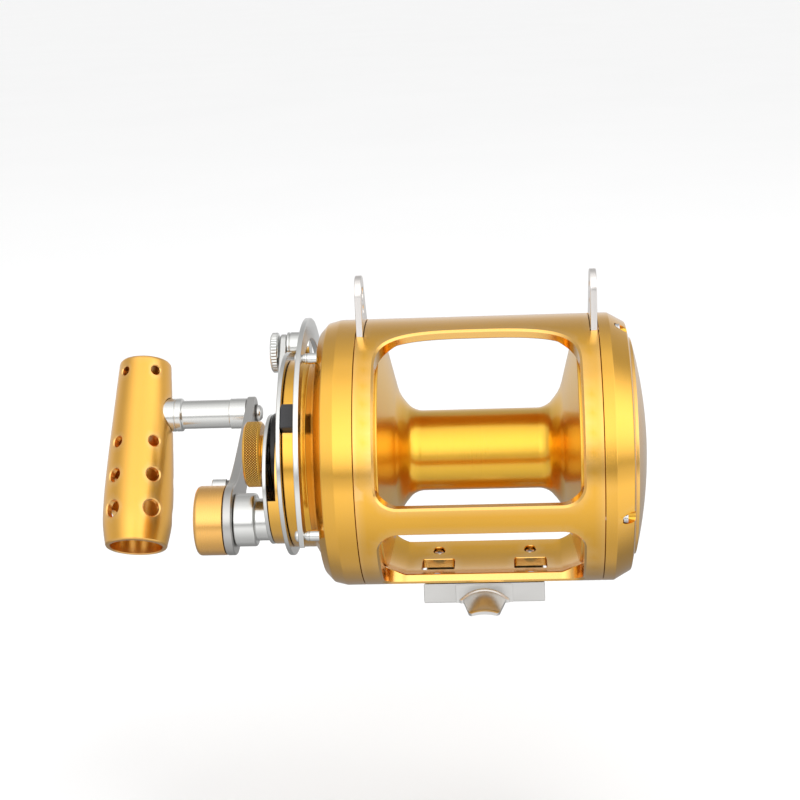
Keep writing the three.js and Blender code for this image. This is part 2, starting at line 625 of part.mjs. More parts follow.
add('drag_plate', makeDragPlate(), STEEL);
const RATCHET = { teeth: 12, tip: 28, root: 24.5, bore: 7.4, x: [-57.8, -55.6], lean: 0.1 };
add('ratchet_wheel', toothedRing(RATCHET), STEEL);
add('pinion_high_speed', highPinion, STEEL);
add('pinion_low_speed', join(lowPinion, pinionSleeve), STEEL);

// ---- Anti-reverse pawls ----------------------------------------------------------------
const PAWL = { pivotR: 47, angles: [30, 150], x: [-57.7, -55.7], reach: -20 };

function makePawl(angle) {
  const [py, pz] = polar(angle, PAWL.pivotR);
  const [ty, tz] = polar(angle + PAWL.reach, RATCHET.tip + 0.8);
  const along = new THREE.Vector2(ty - py, tz - pz).normalize();
  const side = new THREE.Vector2(-along.y, along.x);
  const corner = (y, z, out) => new THREE.Vector2(y + side.x * out, z + side.y * out);
  const shape = new THREE.Shape([corner(py, pz, 3.6), corner(py, pz, -3.6), corner(ty, tz, -0.8),
    corner(ty, tz, 0.4)]);
  const eye = rod(...PAWL.x, 4, { segments: 12, y: py, z: pz });
  const pinHole = rod(-60, -50, 2.2, { segments: 10, y: py, z: pz });
  return cut(join(plate(shape, ...PAWL.x), eye), pinHole);
}

PAWL.angles.forEach((angle, i) => {
  const [y, z] = polar(angle, PAWL.pivotR);
  add(`pawl_pin_${i + 1}`, rod(-73.9, -55.2, 1.7, { segments: 10, y, z }), STEEL);
  add(`pawl_${i + 1}`, makePawl(angle), STEEL);
});

// ---- Crank group: drive shaft, wheel, arm, cap and handle axle --------------------------
const ARM_X = [-127.4, -123];
const CAP = { x: [-142.1, ARM_X[0] - GAP], radius: 17.4, bore: 7.6, floor: -131.4 };
const BUTTON = { radius: 7, face: -143.7, end: -135.4, travel: 3 };
const crankLean = radians(CRANK_LEAN);

// A point on the arm's centre line, as [y, z] from the spool axis.
function onArm(distance) {
  return [distance * Math.sin(crankLean), -DRIVE_DROP + distance * Math.cos(crankLean)];
}

function armShape() {
  const [hubR, endR, waist] = [17.5, 9, 8];
  const [y0, z0] = onArm(0);
  const [y1, z1] = onArm(CRANK_LENGTH);
  const axis = Math.atan2(z1 - z0, y1 - y0);
  const place = (distance, out) => {
    const [y, z] = onArm(distance);
    return [y - out * Math.sin(axis), z + out * Math.cos(axis)];
  };
  const [leave, arrive] = [radians(62), radians(86)];
  const shape = new THREE.Shape();
  shape.absarc(y0, z0, hubR, axis + leave, axis - leave, false);
  shape.quadraticCurveTo(...place(20, -waist * 0.9),
    y1 + endR * Math.cos(axis - arrive), z1 + endR * Math.sin(axis - arrive));
  shape.absarc(y1, z1, endR, axis - arrive, axis + arrive, false);
  shape.quadraticCurveTo(...place(20, waist * 0.9),
    y0 + hubR * Math.cos(axis + leave), z0 + hubR * Math.sin(axis + leave));
  return shape;
}

const [handleY, handleZ] = onArm(CRANK_LENGTH);
const [lockY, lockZ] = onArm(27);
const onDrive = (segments) => ({ z: -DRIVE_DROP, segments });
const onHandle = (segments) => ({ y: handleY, z: handleZ, segments });

function makeArm() {
  const shaftHole = rod(-131, -119, DRIVE_SHAFT_R + 0.3, onDrive(16));
  const axleHole = rod(-131, -119, 4.3, onHandle(14));
  return cut(plate(armShape(), ...ARM_X, 9), shaftHole, axleHole);
}

add('drive_shaft', rod(CAP.floor + 0.4, -58.5, DRIVE_SHAFT_R, onDrive(16)), STEEL);
add('high_speed_gear', highWheel, STEEL);
{
  const outline = [
    [ARM_X[1] + GAP, 6.3], [ARM_X[1] + GAP, SLEEVE.wide], [SLEEVE.step, SLEEVE.wide],
    [SLEEVE.step, SLEEVE.narrow], [-92.1, SLEEVE.narrow], [-92.1, 6.3],
  ];
  add('drive_sleeve', turned(outline, onDrive(24)), SILVER);
}
add('crank_arm', makeArm(), ARM_GREY);
{
  const outline = [
    [CAP.x[1], 6.3], [CAP.x[1], CAP.radius], [CAP.x[0] + 1.2, CAP.radius],
    [CAP.x[0], CAP.radius - 1.2], [CAP.x[0], CAP.bore], [CAP.floor, CAP.bore], [CAP.floor, 6.3],
  ];
  add('crank_cap', turned(outline, onDrive(28)), GOLD);
}
{
  const outline = [
    [-138.5, 0], [-138.5, 4], [-131.1, 4], [-131.1, 3.4], [CAP.x[1], 3.4], [CAP.x[1], 0],
  ];
  add('crank_lock_screw', turned(outline, { y: lockY, z: lockZ, segments: 20 }), SILVER);
}
add('handle_axle', rod(-172.6, ARM_X[1], 4, onHandle(14)), STEEL);
add('handle_axle_nut', turned([
  [ARM_X[1] + GAP, 0], [ARM_X[1] + GAP, 4.3], [-120.8, 4.3], [-119.6, 2.8], [-119.4, 0],
], onHandle(14)), STEEL);
add('low_speed_gear', lowWheel, STEEL);
add('shift_button', rod(BUTTON.face, BUTTON.end, BUTTON.radius, onDrive(20)), SILVER);

// ---- Handle knob -----------------------------------------------------------------------
function makeStem() {
  const outline = [
    [-127.8, 4.4], [-127.8, 8.2], [-137, 8.2], [-137.3, 7.7], [-163, 7.7], [-163.5, 9],
    [-173, 9], [-173, 4.4],
  ];
  return turned(outline, onHandle(20));
}

// Half profile of the knob: distance along it from the axle, then radius.
function knobOutline() {
  const outside = [
    [-74.1, 15.6], [-73.1, 16.4], [-62, 18.2], [-50, 18.5], [-32, 17.9], [0, 16], [28.4, 14.1],
    [30.7, 12.8], [30.7, 0],
  ];
  const inside = [[-13, 0], [-13, 13], [-50, 15], [-74.1, 13.9]];
  return [...outside, ...inside];
}

const HOLE_ROWS = [[22.2, 2.6], [-19.1, 3.1], [-38, 3.8], [-56.5, 4.6]];
const HOLE_COLUMNS = 5;

// Built along X, then tilted into place.
function makeKnob() {
  const shell = turned(knobOutline(), { segments: 24 });
  const topCavity = rod(13, 27.7, 11, { segments: 16 });
  const holes = HOLE_ROWS.flatMap(([along, radius]) => Array.from({ length: HOLE_COLUMNS }, (_, i) => {
    const geometry = new THREE.CylinderGeometry(radius, radius, 14, 6);
    geometry.translate(0, 15, 0).rotateX((i * 2 * Math.PI) / HOLE_COLUMNS);
    return toSolid(geometry.translate(along, 0, 0));
  }));
  return cut(shell, topCavity, ...holes);
}

function standKnob(solid) {
  const geometry = toGeometry(solid);
  geometry.rotateY(-Math.PI / 2); // along X becomes along +Z
  geometry.rotateX(-radians(KNOB_TILT)); // the upper end leans back
  return toSolid(geometry.translate(KNOB_X, handleY, handleZ));
}

const stemSocket = rod(-173.4, -160, 9.4, onHandle(20));
add('handle_knob', cut(standKnob(makeKnob()), stemSocket), GOLD);
add('handle_stem', makeStem(), SILVER);

export default new THREE.Group().add(reel);
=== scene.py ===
"""Looks of a two-speed trolling reel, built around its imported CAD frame.

Lengths are in millimetres from the middle of the spool axis, until a mesh is written in metres.
Angles about an X axis start at the rod-tip side (-Y) and grow upwards.
"""

import json
import math

import bmesh
import bpy
import numpy as np
from mathutils import Euler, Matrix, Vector, geometry

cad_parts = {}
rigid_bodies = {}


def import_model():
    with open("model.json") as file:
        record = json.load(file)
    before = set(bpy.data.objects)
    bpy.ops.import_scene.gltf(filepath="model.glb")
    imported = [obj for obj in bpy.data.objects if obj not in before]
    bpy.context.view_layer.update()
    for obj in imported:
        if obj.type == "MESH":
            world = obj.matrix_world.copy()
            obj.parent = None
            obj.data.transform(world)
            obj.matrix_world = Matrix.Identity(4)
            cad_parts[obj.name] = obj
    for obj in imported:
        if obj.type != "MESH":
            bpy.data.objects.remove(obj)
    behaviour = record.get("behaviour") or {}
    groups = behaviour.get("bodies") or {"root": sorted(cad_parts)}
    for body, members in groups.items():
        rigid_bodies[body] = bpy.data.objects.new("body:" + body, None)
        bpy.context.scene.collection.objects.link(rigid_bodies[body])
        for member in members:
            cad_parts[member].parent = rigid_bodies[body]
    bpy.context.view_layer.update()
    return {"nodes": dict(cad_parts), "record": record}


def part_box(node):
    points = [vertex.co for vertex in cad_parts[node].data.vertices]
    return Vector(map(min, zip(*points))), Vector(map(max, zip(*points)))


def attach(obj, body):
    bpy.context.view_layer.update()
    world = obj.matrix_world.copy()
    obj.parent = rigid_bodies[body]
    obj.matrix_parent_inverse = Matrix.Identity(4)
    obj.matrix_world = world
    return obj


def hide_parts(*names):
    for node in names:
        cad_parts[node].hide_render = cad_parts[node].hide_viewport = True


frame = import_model()

MM = 0.001
AXIS_Z = 72
TAU = 2 * math.pi
PLATE_R = 65


def polar(angle, radius, aside=0):
    """The (y, z) of a point on a ray from the spool axis, or aside from it towards larger angles."""
    a = math.radians(angle)
    return -radius * math.cos(a) + aside * math.sin(a), radius * math.sin(a) + aside * math.cos(a)


# ---- Outlines ----
def rounded(points, fillet=0.3, closed=True, step=20):
    """The outline with its corners turned into arcs. A point's third number is its own fillet."""
    out, count = [], len(points)
    for i, point in enumerate(points):
        here = Vector(point[:2])
        size = point[2] if len(point) > 2 else fillet
        a = Vector(points[i - 1][:2]) - here
        b = Vector(points[(i + 1) % count][:2]) - here
        turn = math.pi - a.angle(b, math.pi)
        if size <= 0 or turn < 0.03 or (not closed and i in (0, count - 1)):
            out.append(tuple(here))
            continue
        reach = min(size * math.tan(turn / 2), 0.48 * a.length, 0.48 * b.length)
        radius = reach / math.tan(turn / 2)
        a.normalize()
        b.normalize()
        centre = here + (a + b).normalized() * radius / math.cos(turn / 2)
        spoke = here + a * reach - centre
        sign = 1 if a.cross(b) < 0 else -1
        steps = max(2, math.ceil(math.degrees(turn) / step))
        for k in range(steps + 1):
            angle = sign * turn * k / steps
            c, s = math.cos(angle), math.sin(angle)
            out.append((centre.x + spoke.x * c - spoke.y * s, centre.y + spoke.x * s + spoke.y * c))
    return out


def box(y0, y1, z0, z1):
    return [(y0, z0), (y1, z0), (y1, z1), (y0, z1)]


def circle(y, z, radius, count=48):
    steps = (TAU * i / count for i in range(count))
    return [(y + radius * math.cos(a), z + radius * math.sin(a)) for a in steps]


def arc(radius, start, end, count):
    return [polar(start + (end - start) * i / count, radius) for i in range(count + 1)]


def area(ring):
    return sum(a[0] * b[1] - b[0] * a[1] for a, b in zip(ring, ring[1:] + ring[:1])) / 2


def offset(ring, distance):
    """The ring moved into its own inside by the distance."""
    sign = 1 if area(ring) > 0 else -1
    out = []
    for i, here in enumerate(ring):
        before = Vector(here) - Vector(ring[i - 1])
        after = Vector(ring[(i + 1) % len(ring)]) - Vector(here)
        n1 = Vector((-before.y, before.x)).normalized() * sign
        n2 = Vector((-after.y, after.x)).normalized() * sign
        shift = (n1 + n2) / max(0.35, 1 + n1.dot(n2)) * distance
        out.append((here[0] + shift.x, here[1] + shift.y))
    return out


# ---- Solids as (points, faces) ----
def turned(profile, segments=96, y=0, z=0, relief=None):
    """A closed outline of (x, radius) turned about a line parallel to X."""
    points, faces, count = [], [], len(profile)
    for i in range(segments):
        a = TAU * i / segments
        for x, radius in profile:
            r = radius + (relief(x, radius, a) if relief else 0)
            points.append((x, y - r * math.cos(a), z + r * math.sin(a)))
    for i in range(segments):
        for k in range(count):
            low, up = i * count, (i + 1) % segments * count
            nxt = (k + 1) % count
            faces.append((low + k, low + nxt, up + nxt, up + k))
    return points, faces


def walls(start, size, count):
    """The faces between closed rings of one size, whose points follow each other."""
    faces = []
    for a in range(start, start + (count - 1) * size, size):
        faces += [(a + i, a + (i + 1) % size, a + size + (i + 1) % size, a + size + i) for i in range(size)]
    return faces


def plate(outline, x0, x1, holes=(), edge=0.35, steps=3):
    """A flat plate across X with rounded edges, from an outline and holes in (y, z)."""
    loops = [outline, *holes]
    stations = []
    for x, sign in ((x0, 1), (x1, -1)):
        bends = [math.pi / 2 * k / steps for k in range(steps + 1 if edge > 0 else 1)]
        arcs = [(x + sign * edge * (1 - math.cos(t)), edge * (1 - math.sin(t))) for t in bends]
        stations += arcs[::sign]
    points, faces, starts = [], [], []
    for number, loop in enumerate(loops):
        starts.append(len(points))
        size = len(loop)
        for x, inward in stations:
            ring = offset(loop, inward if number == 0 else -inward) if inward else loop
            points += [(x, *p[:2]) for p in ring]
        faces += walls(starts[-1], size, len(stations))
    for station in (0, len(stations) - 1):
        rings, ids = [], []
        for loop, start in zip(loops, starts):
            own = [start + station * len(loop) + i for i in range(len(loop))]
            rings.append([Vector((*points[i][1:], 0)) for i in own])
            ids += own
        faces += [tuple(ids[i] for i in tri) for tri in geometry.tessellate_polygon(rings)]
    return points, faces


def moved(solid, function):
    return [function(*p) for p in solid[0]], solid[1]


def loft(rings):
    """A solid through equal closed rings of points, with flat ends."""
    count, size = len(rings), len(rings[0])
    ends = [tuple(k * size + i for i in range(size)) for k in (0, count - 1)]
    return [p for ring in rings for p in ring], walls(0, size, count) + ends


def on_ray(angle, solid):
    """A solid drawn with +y outwards, +z along the circumference, placed on a ray from the spool axis."""
    return moved(solid, lambda x, r, t: (x, *polar(angle, r, t)))


# ---- Objects ----
def row(point):
    return point[0] * MM, point[1] * MM, (point[2] + AXIS_Z) * MM


def linked(name, data):
    """A new object of the data, in the scene."""
    obj = bpy.data.objects.new(name, data)
    bpy.context.scene.collection.objects.link(obj)
    return obj


def new_object(name, solids):
    whole = bmesh.new()
    for points, faces in solids:
        bm = bmesh.new()
        verts = [bm.verts.new(row(p)) for p in points]
        for face in faces:
            bm.faces.new([verts[i] for i in face])
        bmesh.ops.remove_doubles(bm, verts=bm.verts, dist=2e-6)
        bmesh.ops.recalc_face_normals(bm, faces=bm.faces)
        part = bpy.data.meshes.new("part")
        bm.to_mesh(part)
        bm.free()
        whole.from_mesh(part)
        bpy.data.meshes.remove(part)
    mesh = bpy.data.meshes.new(name)
    whole.to_mesh(mesh)
    whole.free()
    return linked(name, mesh)


def carve(obj, tools, operation="DIFFERENCE"):
    """Cuts the tools from obj, or joins them to it."""
    for i, tool in enumerate(tools):
        helper = new_object(f"tool{i}", [tool])
        modifier = obj.modifiers.new("carve", "BOOLEAN")
        modifier.object, modifier.operation, modifier.solver = helper, operation, "EXACT"
        graph = bpy.context.evaluated_depsgraph_get()
        mesh = bpy.data.meshes.new_from_object(obj.evaluated_get(graph))
        obj.modifiers.clear()
        old, obj.data = obj.data, mesh
        bpy.data.meshes.remove(old)
        mesh = helper.data
        bpy.data.objects.remove(helper)
        bpy.data.meshes.remove(mesh)
    return obj


def set_grain(mesh, grain):
    """Writes each point's place across the tool marks, which the metal materials read."""
    attribute = mesh.attributes.new("grain", "FLOAT_VECTOR", "POINT")
    co = np.empty(len(mesh.vertices) * 3, np.float32)
    mesh.vertices.foreach_get("co", co)
    co = co.reshape(-1, 3) * 1000
    kind, *rest = grain
    if kind == "turned":
        y, z = rest
        radius = np.hypot(co[:, 1] - y, co[:, 2] - AXIS_Z - z)
        value = np.column_stack([co[:, 0], radius, np.zeros(len(co))])
    else:
        along = np.array(rest, float) / np.linalg.norm(rest)
        value = co - np.outer(co @ along, along) * 0.97
    attribute.data.foreach_set("vector", value.astype(np.float32).ravel())


def bind(obj, node, look, body, grain):
    """Dresses a piece in the material of a look (material, slot), and puts it on its body in place of its CAD
    node.
    """
    set_grain(obj.data, grain)
    obj.data.materials.clear()
    obj.data.materials.append(look[0])
    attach(obj, body)
    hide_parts(node)


def finish_piece(obj, node, look, body="reel_body", grain=("turned", 0, 0), sharp=32):
    obj.data.shade_smooth()
    obj.data.set_sharp_from_angle(angle=math.radians(sharp))
    obj.modifiers.new("normals", "WEIGHTED_NORMAL").keep_sharp = True
    bind(obj, node, look, body, grain)
    return obj


def recolour(obj, look, chosen):
    """Gives the faces whose middle is chosen, in mm from the spool axis, another look's material."""
    obj.data.materials.append(look[0])
    for face in obj.data.polygons:
        x, y, z = face.center / MM
        if chosen(x, y, z - AXIS_Z):
            face.material_index = 1


def add(name, node, solids, look, body="reel_body", tools=(), **more):
    """Adds the piece of that name, made of one solid or a list, in place of the CAD node."""
    obj = new_object(name, solids if isinstance(solids, list) else [solids])
    return finish_piece(carve(obj, tools), node, look, body, **more)


def lathe(name, node, profile, look, segments, at=(0, 0), fillet=0.2, step=20, **more):
    """Adds one piece turned about the line parallel to X through (y, z)."""
    solid = turned(rounded(profile, fillet, step=step), segments, *at)
    return add(name, node, solid, look, grain=("turned", *at), **more)


# ---- Materials ----
class Nodes:
    """The node tree of a material or world, written from left to right."""

    def __init__(self, data):
        data.use_nodes = True
        self.data, self.tree = data, data.node_tree

    def new(self, kind, inputs=(), **settings):
        node = self.tree.nodes.new(kind)
        for key, value in settings.items():
            setattr(node, key, value)
        for key, value in dict(inputs).items():
            if isinstance(value, bpy.types.NodeSocket):
                self.tree.links.new(value, node.inputs[key])
            else:
                node.inputs[key].default_value = value
        return node

    def to_shader(self, **sockets):
        shader = self.tree.nodes["Principled BSDF"]
        for name, value in sockets.items():
            socket = shader.inputs[name.replace("_", " ")]
            if isinstance(value, bpy.types.NodeSocket):
                self.tree.links.new(value, socket)
            else:
                socket.default_value = value

    def ramp(self, value, *stops):
        node = self.new("ShaderNodeValToRGB", {"Fac": value})
        elements = node.color_ramp.elements
        while len(elements) < len(stops):
            elements.new(0.5)
        for element, (place, colour) in zip(elements, stops):
            element.position = place
            element.color = (*colour, 1) if hasattr(colour, "__len__") else (colour,) * 3 + (1,)
        return node.outputs["Color"]

    def mix(self, factor, a, b, blend="MIX"):
        node = self.new("ShaderNodeMix", data_type="RGBA", blend_type=blend)
        for place, value in ((0, factor), (6, a), (7, b)):
            if isinstance(value, bpy.types.NodeSocket):
                self.tree.links.new(value, node.inputs[place])
            else:
                node.inputs[place].default_value = (*value, 1) if hasattr(value, "__len__") else value
        return node.outputs[2]

    def math(self, operation, a, b=0.0):
        return self.new("ShaderNodeMath", {0: a, 1: b}, operation=operation).outputs[0]

    def noise(self, vector, scale, detail=2.0, roughness=0.5):
        inputs = {"Vector": vector, "Scale": scale, "Detail": detail, "Roughness": roughness}
        return self.new("ShaderNodeTexNoise", inputs).outputs["Fac"]

    def bump(self, strength, distance, height):
        inputs = {"Strength": strength, "Distance": distance, "Height": height}
        self.to_shader(Normal=self.new("ShaderNodeBump", inputs).outputs["Normal"])

    def painted_edge_highlight(self, place, value):
        """Painted highlight: a lighter tone where edges stick out."""
        edges = self.new("ShaderNodeNewGeometry").outputs["Pointiness"]
        return self.ramp(edges, (0.5, 0.0), (place, value))


def new_material(name):
    return Nodes(bpy.data.materials.new(name))


def scaled(colour, factor):
    return tuple(min(1, c * factor) for c in colour)


def tooled_metal(name, colour, rough, lines=0.5, coat=0.0, groove_shade=0.0):
    """Machined metal: fine tool marks across the grain, soft cloudy variation, painted highlights on the
    edges and, where a groove shade is given, painted shade in knurl grooves.
    """
    n = new_material(name)
    grain = n.new("ShaderNodeAttribute", attribute_name="grain").outputs["Vector"]
    place = n.new("ShaderNodeTexCoord").outputs["Object"]
    coarse, fine = n.noise(grain, 1.2, 3.0, 0.6), n.noise(grain, 6.0, 2.0, 0.6)
    cloud = n.noise(place, 35.0, 3.0, 0.55)
    tone = n.mix(cloud, scaled(colour, 0.93), scaled(colour, 1.05))
    tone = n.mix(n.ramp(coarse, (0.35, 0.0), (0.7, 0.16 * lines)), tone, scaled(colour, 1.15))
    # Painted highlight: edges get a lighter tone than the metal's own colour.
    edge_highlight_tone = tuple(min(1, 0.75 * c * 1.15 + 0.25 * max(colour)) for c in colour)
    tone = n.mix(n.painted_edge_highlight(0.56, 0.55), tone, edge_highlight_tone)
    # Painted shade in the knurl grooves: the deeper a point lies, the darker its colour, down to the given
    # fraction of the tone.
    if groove_shade:
        deep = n.new("ShaderNodeAttribute", attribute_name="groove").outputs["Fac"]
        tone = n.mix(deep, tone, scaled(colour, groove_shade))
    streak = n.math("MULTIPLY", n.math("SUBTRACT", fine, 0.5), 0.16 * lines)
    smear = n.math("MULTIPLY", n.math("SUBTRACT", cloud, 0.5), 0.10)
    n.to_shader(Base_Color=tone, Roughness=n.math("ADD", n.math("ADD", streak, smear), rough), Metallic=1.0)
    n.bump(lines, 0.02 * MM, n.math("ADD", fine, n.math("MULTIPLY", coarse, 0.6)))
    if coat:
        n.to_shader(Coat_Weight=coat, Coat_Roughness=0.12)
    return n.data


def moulded(name, colour, rough):
    """Moulded plastic: a fine speckled skin with painted highlights on its edges."""
    n = new_material(name)
    place = n.new("ShaderNodeTexCoord").outputs["Object"]
    speck, cloud = n.noise(place, 900.0, 2.0, 0.6), n.noise(place, 60.0, 3.0)
    tone = n.mix(cloud, scaled(colour, 0.8), scaled(colour, 1.3))
    # Painted highlight: edges lighter than the plastic's own colour.
    n.to_shader(Base_Color=n.mix(n.painted_edge_highlight(0.57, 0.6), tone, tuple(c * 3.2 + 0.02 for c in colour)))
    n.to_shader(Roughness=n.math("ADD", n.math("MULTIPLY", speck, 0.2), rough))
    n.bump(0.35, 0.00006, speck)
    return n.data


def woven(name):
    """Carbon-fibre drag face: a twill of two crossed ribbons."""
    n = new_material(name)
    place = n.new("ShaderNodeTexCoord").outputs["Object"]
    check = n.new("ShaderNodeTexChecker", {"Vector": place, "Scale": 620.0}).outputs["Fac"]
    thread = n.noise(place, 2600.0, 1.0)
    tone = n.mix(check, (0.03, 0.032, 0.036), (0.085, 0.09, 0.1))
    n.to_shader(Base_Color=tone, Roughness=n.math("ADD", n.math("MULTIPLY", thread, 0.3), 0.35))
    n.bump(0.5, 0.0001, check)
    return n.data


GOLD_TONE = (0.92, 0.48, 0.045)
# Each gold's last number is the painted shade in its knurl grooves (0 for none).
gold, gold_soft, gold_turned, gold_matt, gold_knurled = (
    (tooled_metal(f"anodised gold{kind}", tone, rough, lines, coat, groove_shade), "anodised_gold")
    for kind, tone, rough, lines, coat, groove_shade in (
        ("", GOLD_TONE, 0.2, 0.5, 0.5, 0),
        (", tumbled", (0.91, 0.475, 0.07), 0.3, 0.5, 0.5, 0),
        (", turned", (0.92, 0.53, 0.045), 0.3, 0.6, 0.5, 0),
        (", blasted", (0.91, 0.48, 0.1), 0.27, 0.25, 0.5, 0),
        (", knurled", GOLD_TONE, 0.25, 0.3, 0.3, 0.08)))
silver, bright_silver, silver_matt = (
    (tooled_metal(f"{kind} aluminium", tone, rough, lines), "silver_aluminium")
    for kind, tone, rough, lines in (
        ("clear anodised", (0.73, 0.73, 0.71), 0.2, 0.45),
        ("brushed clear", (0.86, 0.82, 0.79), 0.24, 0.4),
        ("cast clear", (0.63, 0.62, 0.60), 0.3, 0.3)))
polished = silver[0], "steel"
steel = tooled_metal("turned stainless steel", (0.66, 0.65, 0.63), 0.2, 0.6), "steel"
dark_steel = tooled_metal("blackened steel", (0.2, 0.19, 0.18), 0.3, 0.4), "steel"
grey = tooled_metal("grey anodised aluminium", (0.55, 0.54, 0.52), 0.34, 0.35), "crank_grey"
black_metal = tooled_metal("black anodised aluminium", (0.022, 0.02, 0.02), 0.28, 0.4, 0.4), silver[1]
black = moulded("black moulded plastic", (0.018, 0.018, 0.02), 0.42), "black_plastic"
carbon = woven("woven carbon fibre"), "carbon_friction"


# ---- Walls with holes through them ----
def evenly(loop, spacing):
    """A closed loop of 2-D points, drawn again with points the same distance apart."""
    ring = np.array([*loop, loop[0]], float)
    reach = np.concatenate([[0], np.cumsum(np.hypot(*np.diff(ring, axis=0).T))])
    places = np.linspace(0, reach[-1], max(12, round(reach[-1] / spacing)), endpoint=False)
    return np.column_stack([np.interp(places, reach, ring[:, k]) for k in (0, 1)])


def outward(loop):
    """Each point's direction out of a closed 2-D loop."""
    along = np.roll(loop, -1, 0) - np.roll(loop, 1, 0)
    normal = np.column_stack([along[:, 1], -along[:, 0]])
    normal /= np.linalg.norm(normal, axis=1)[:, None]
    x, y = loop.T
    turning = np.sum(x * np.roll(y, -1) - np.roll(x, -1) * y)
    return normal if turning > 0 else -normal


def inside(points, loop):
    x, y = points.T
    x0, y0 = loop.T
    x1, y1 = np.roll(x0, -1), np.roll(y0, -1)
    hit = np.zeros(len(points), bool)
    for a, b, c, d in zip(x0, y0, x1, y1):
        if b != d:
            hit ^= ((b > y) != (d > y)) & (x < (c - a) * (y - b) / (d - b) + a)
    return hit


class Skin:
    """A mesh of a wall around an axis, with each face corner's own normal.

    place(along, turn, radius) gives a point, and basis(turn) the three directions: along, around and out.
    """

    def __init__(self, place, basis):
        self.place, self.basis = place, basis
        self.points, self.ids, self.faces, self.normals = [], {}, [], []

    def corner(self, spot, normal):
        """spot is (along, turn, radius), and normal is (along, around, out)."""
        directions = zip(self.basis(spot[1]), normal)
        return self.place(*spot), sum((Vector(d) * k for d, k in directions), Vector()).normalized()

    def face(self, corners):
        ids, kept = [], []
        for point, normal in corners:
            key = tuple(round(c, 3) for c in point)
            if key not in self.ids:
                self.ids[key] = len(self.points)
                self.points.append(point)
            if self.ids[key] not in ids:
                ids.append(self.ids[key])
                kept.append(normal)
        if len(ids) < 3:
            return
        flat = geometry.normal([Vector(self.points[i]) for i in ids[:4]]) if len(ids) < 5 else kept[0]
        if flat.dot(sum(kept, Vector())) < 0:
            ids, kept = ids[::-1], kept[::-1]
        if len(ids) > 4:
            pairs = zip(ids, ids[1:] + ids[:1])
            spin = sum((Vector(self.points[a]).cross(Vector(self.points[b])) for a, b in pairs), Vector())
            if spin.dot(kept[0]) < 0:
                ids, kept = ids[::-1], kept[::-1]
        self.faces.append(ids)
        self.normals += kept

    def band(self, ring_a, ring_b):
        count = len(ring_a)
        for i in range(count):
            j = (i + 1) % count
            self.face([ring_a[i], ring_a[j], ring_b[j], ring_b[i]])

    def turn_profile(self, turns, *stations):
        """Bands around the axis through (along, radius, normal along, normal out)."""
        rings = [[self.corner((along, TAU * i / turns, radius), (into, 0, out)) for i in range(turns)]
                 for along, radius, into, out in stations]
        for one, two in zip(rings, rings[1:]):
            self.band(one, two)

    def sheet(self, lines, turns, loops, radius, side, mean, start=0.0):
        """The face of the wall over a grid of lines and turns, with the loops of (along, turn) left out.

        No loop may cross the turn that the sheet starts from.
        """
        step = TAU / turns
        grid = np.array([(u, start + step * i) for u in lines for i in range(turns + 1)])
        keep = np.ones(len(grid), bool)
        scaled = grid * (1, mean)
        for loop in loops:
            outline = np.array(loop) * (1, mean)
            low, high = outline.min(0) - 3, outline.max(0) + 3
            near = np.flatnonzero(((scaled > low) & (scaled < high)).all(1))
            if len(near):
                gap = np.hypot(*(scaled[near][:, None] - outline[None]).transpose(2, 0, 1)).min(1)
                spacing = np.hypot(*(outline[1] - outline[0]))
                keep[near[(gap < 0.7 * spacing) | inside(scaled[near], outline)]] = False
        rim = (grid[:, 0] == lines[0]) | (grid[:, 0] == lines[-1])
        rim |= (grid[:, 1] < start + step / 2) | (grid[:, 1] > start + TAU - step / 2)
        keep |= rim
        flat = [tuple(p) for p in scaled[keep]]
        edges = []
        for loop in loops:
            first = len(flat)
            flat += [tuple(p) for p in np.array(loop) * (1, mean)]
            edges += [(first + i, first + (i + 1) % len(loop)) for i in range(len(loop))]
        result = geometry.delaunay_2d_cdt([Vector(p) for p in flat], edges, [], 0, 1e-5)
        points, faces = np.array([tuple(p) for p in result[0]]), result[2]
        centres = np.array([points[list(f)].mean(0) for f in faces])
        drop = np.zeros(len(faces), bool)
        for loop in loops:
            drop |= inside(centres, np.array(loop) * (1, mean))
        corners = []
        for u, v in points:
            slope = (radius(u + 0.01) - radius(u - 0.01)) / 0.02
            corners.append(self.corner((u, v / mean, radius(u)), (-slope * side, 0, side)))
        for face, gone in zip(faces, drop):
            if not gone:
                self.face([corners[i] for i in face])

    def mouth(self, loop, radius, cut, side, mean):
        """A hole's chamfer: the loop that the sheet leaves out, the chamfer's two rows and the wall's row."""
        out = outward(np.array(loop) * (1, mean))
        wide = (np.array(loop) * (1, mean) + out * cut) / (1, mean)

        def line(spots, depth, up):
            pairs = zip(spots, out)
            return [self.corner((u, v, radius(u) - depth), (-a, -b, up)) for (u, v), (a, b) in pairs]

        return wide, line(wide, 0, side), line(loop, side * cut, side), line(loop, side * cut, 0)

    def edge_rings(self, outer, inner, r_outer, r_inner, chamfer, inner_chamfer, mean):
        """The wall of one hole, between its chamfered edges. Returns the loops that the sheets leave out."""
        wide, rim, lip, wall = self.mouth(outer, r_outer, chamfer, 1, mean)
        inner_wide, inner_rim, inner_lip, inner_wall = self.mouth(inner, r_inner, inner_chamfer, -1, mean)
        self.band(rim, lip)
        self.band(wall, inner_wall)
        self.band(inner_lip, inner_rim)
        return wide, inner_wide

    def pocket(self, outer, radius, chamfer, mean, floor_point, floor_normal):
        """A blind hole: chamfered edge, wall and flat floor. Returns the loop that the sheet leaves out."""
        wide, rim, lip, wall = self.mouth(outer, radius, chamfer, 1, mean)
        bottom = [(floor_point(point), normal) for point, normal in wall]
        self.band(rim, lip)
        self.band(wall, bottom)
        self.face([(point, Vector(floor_normal)) for point, _ in bottom])
        return wide

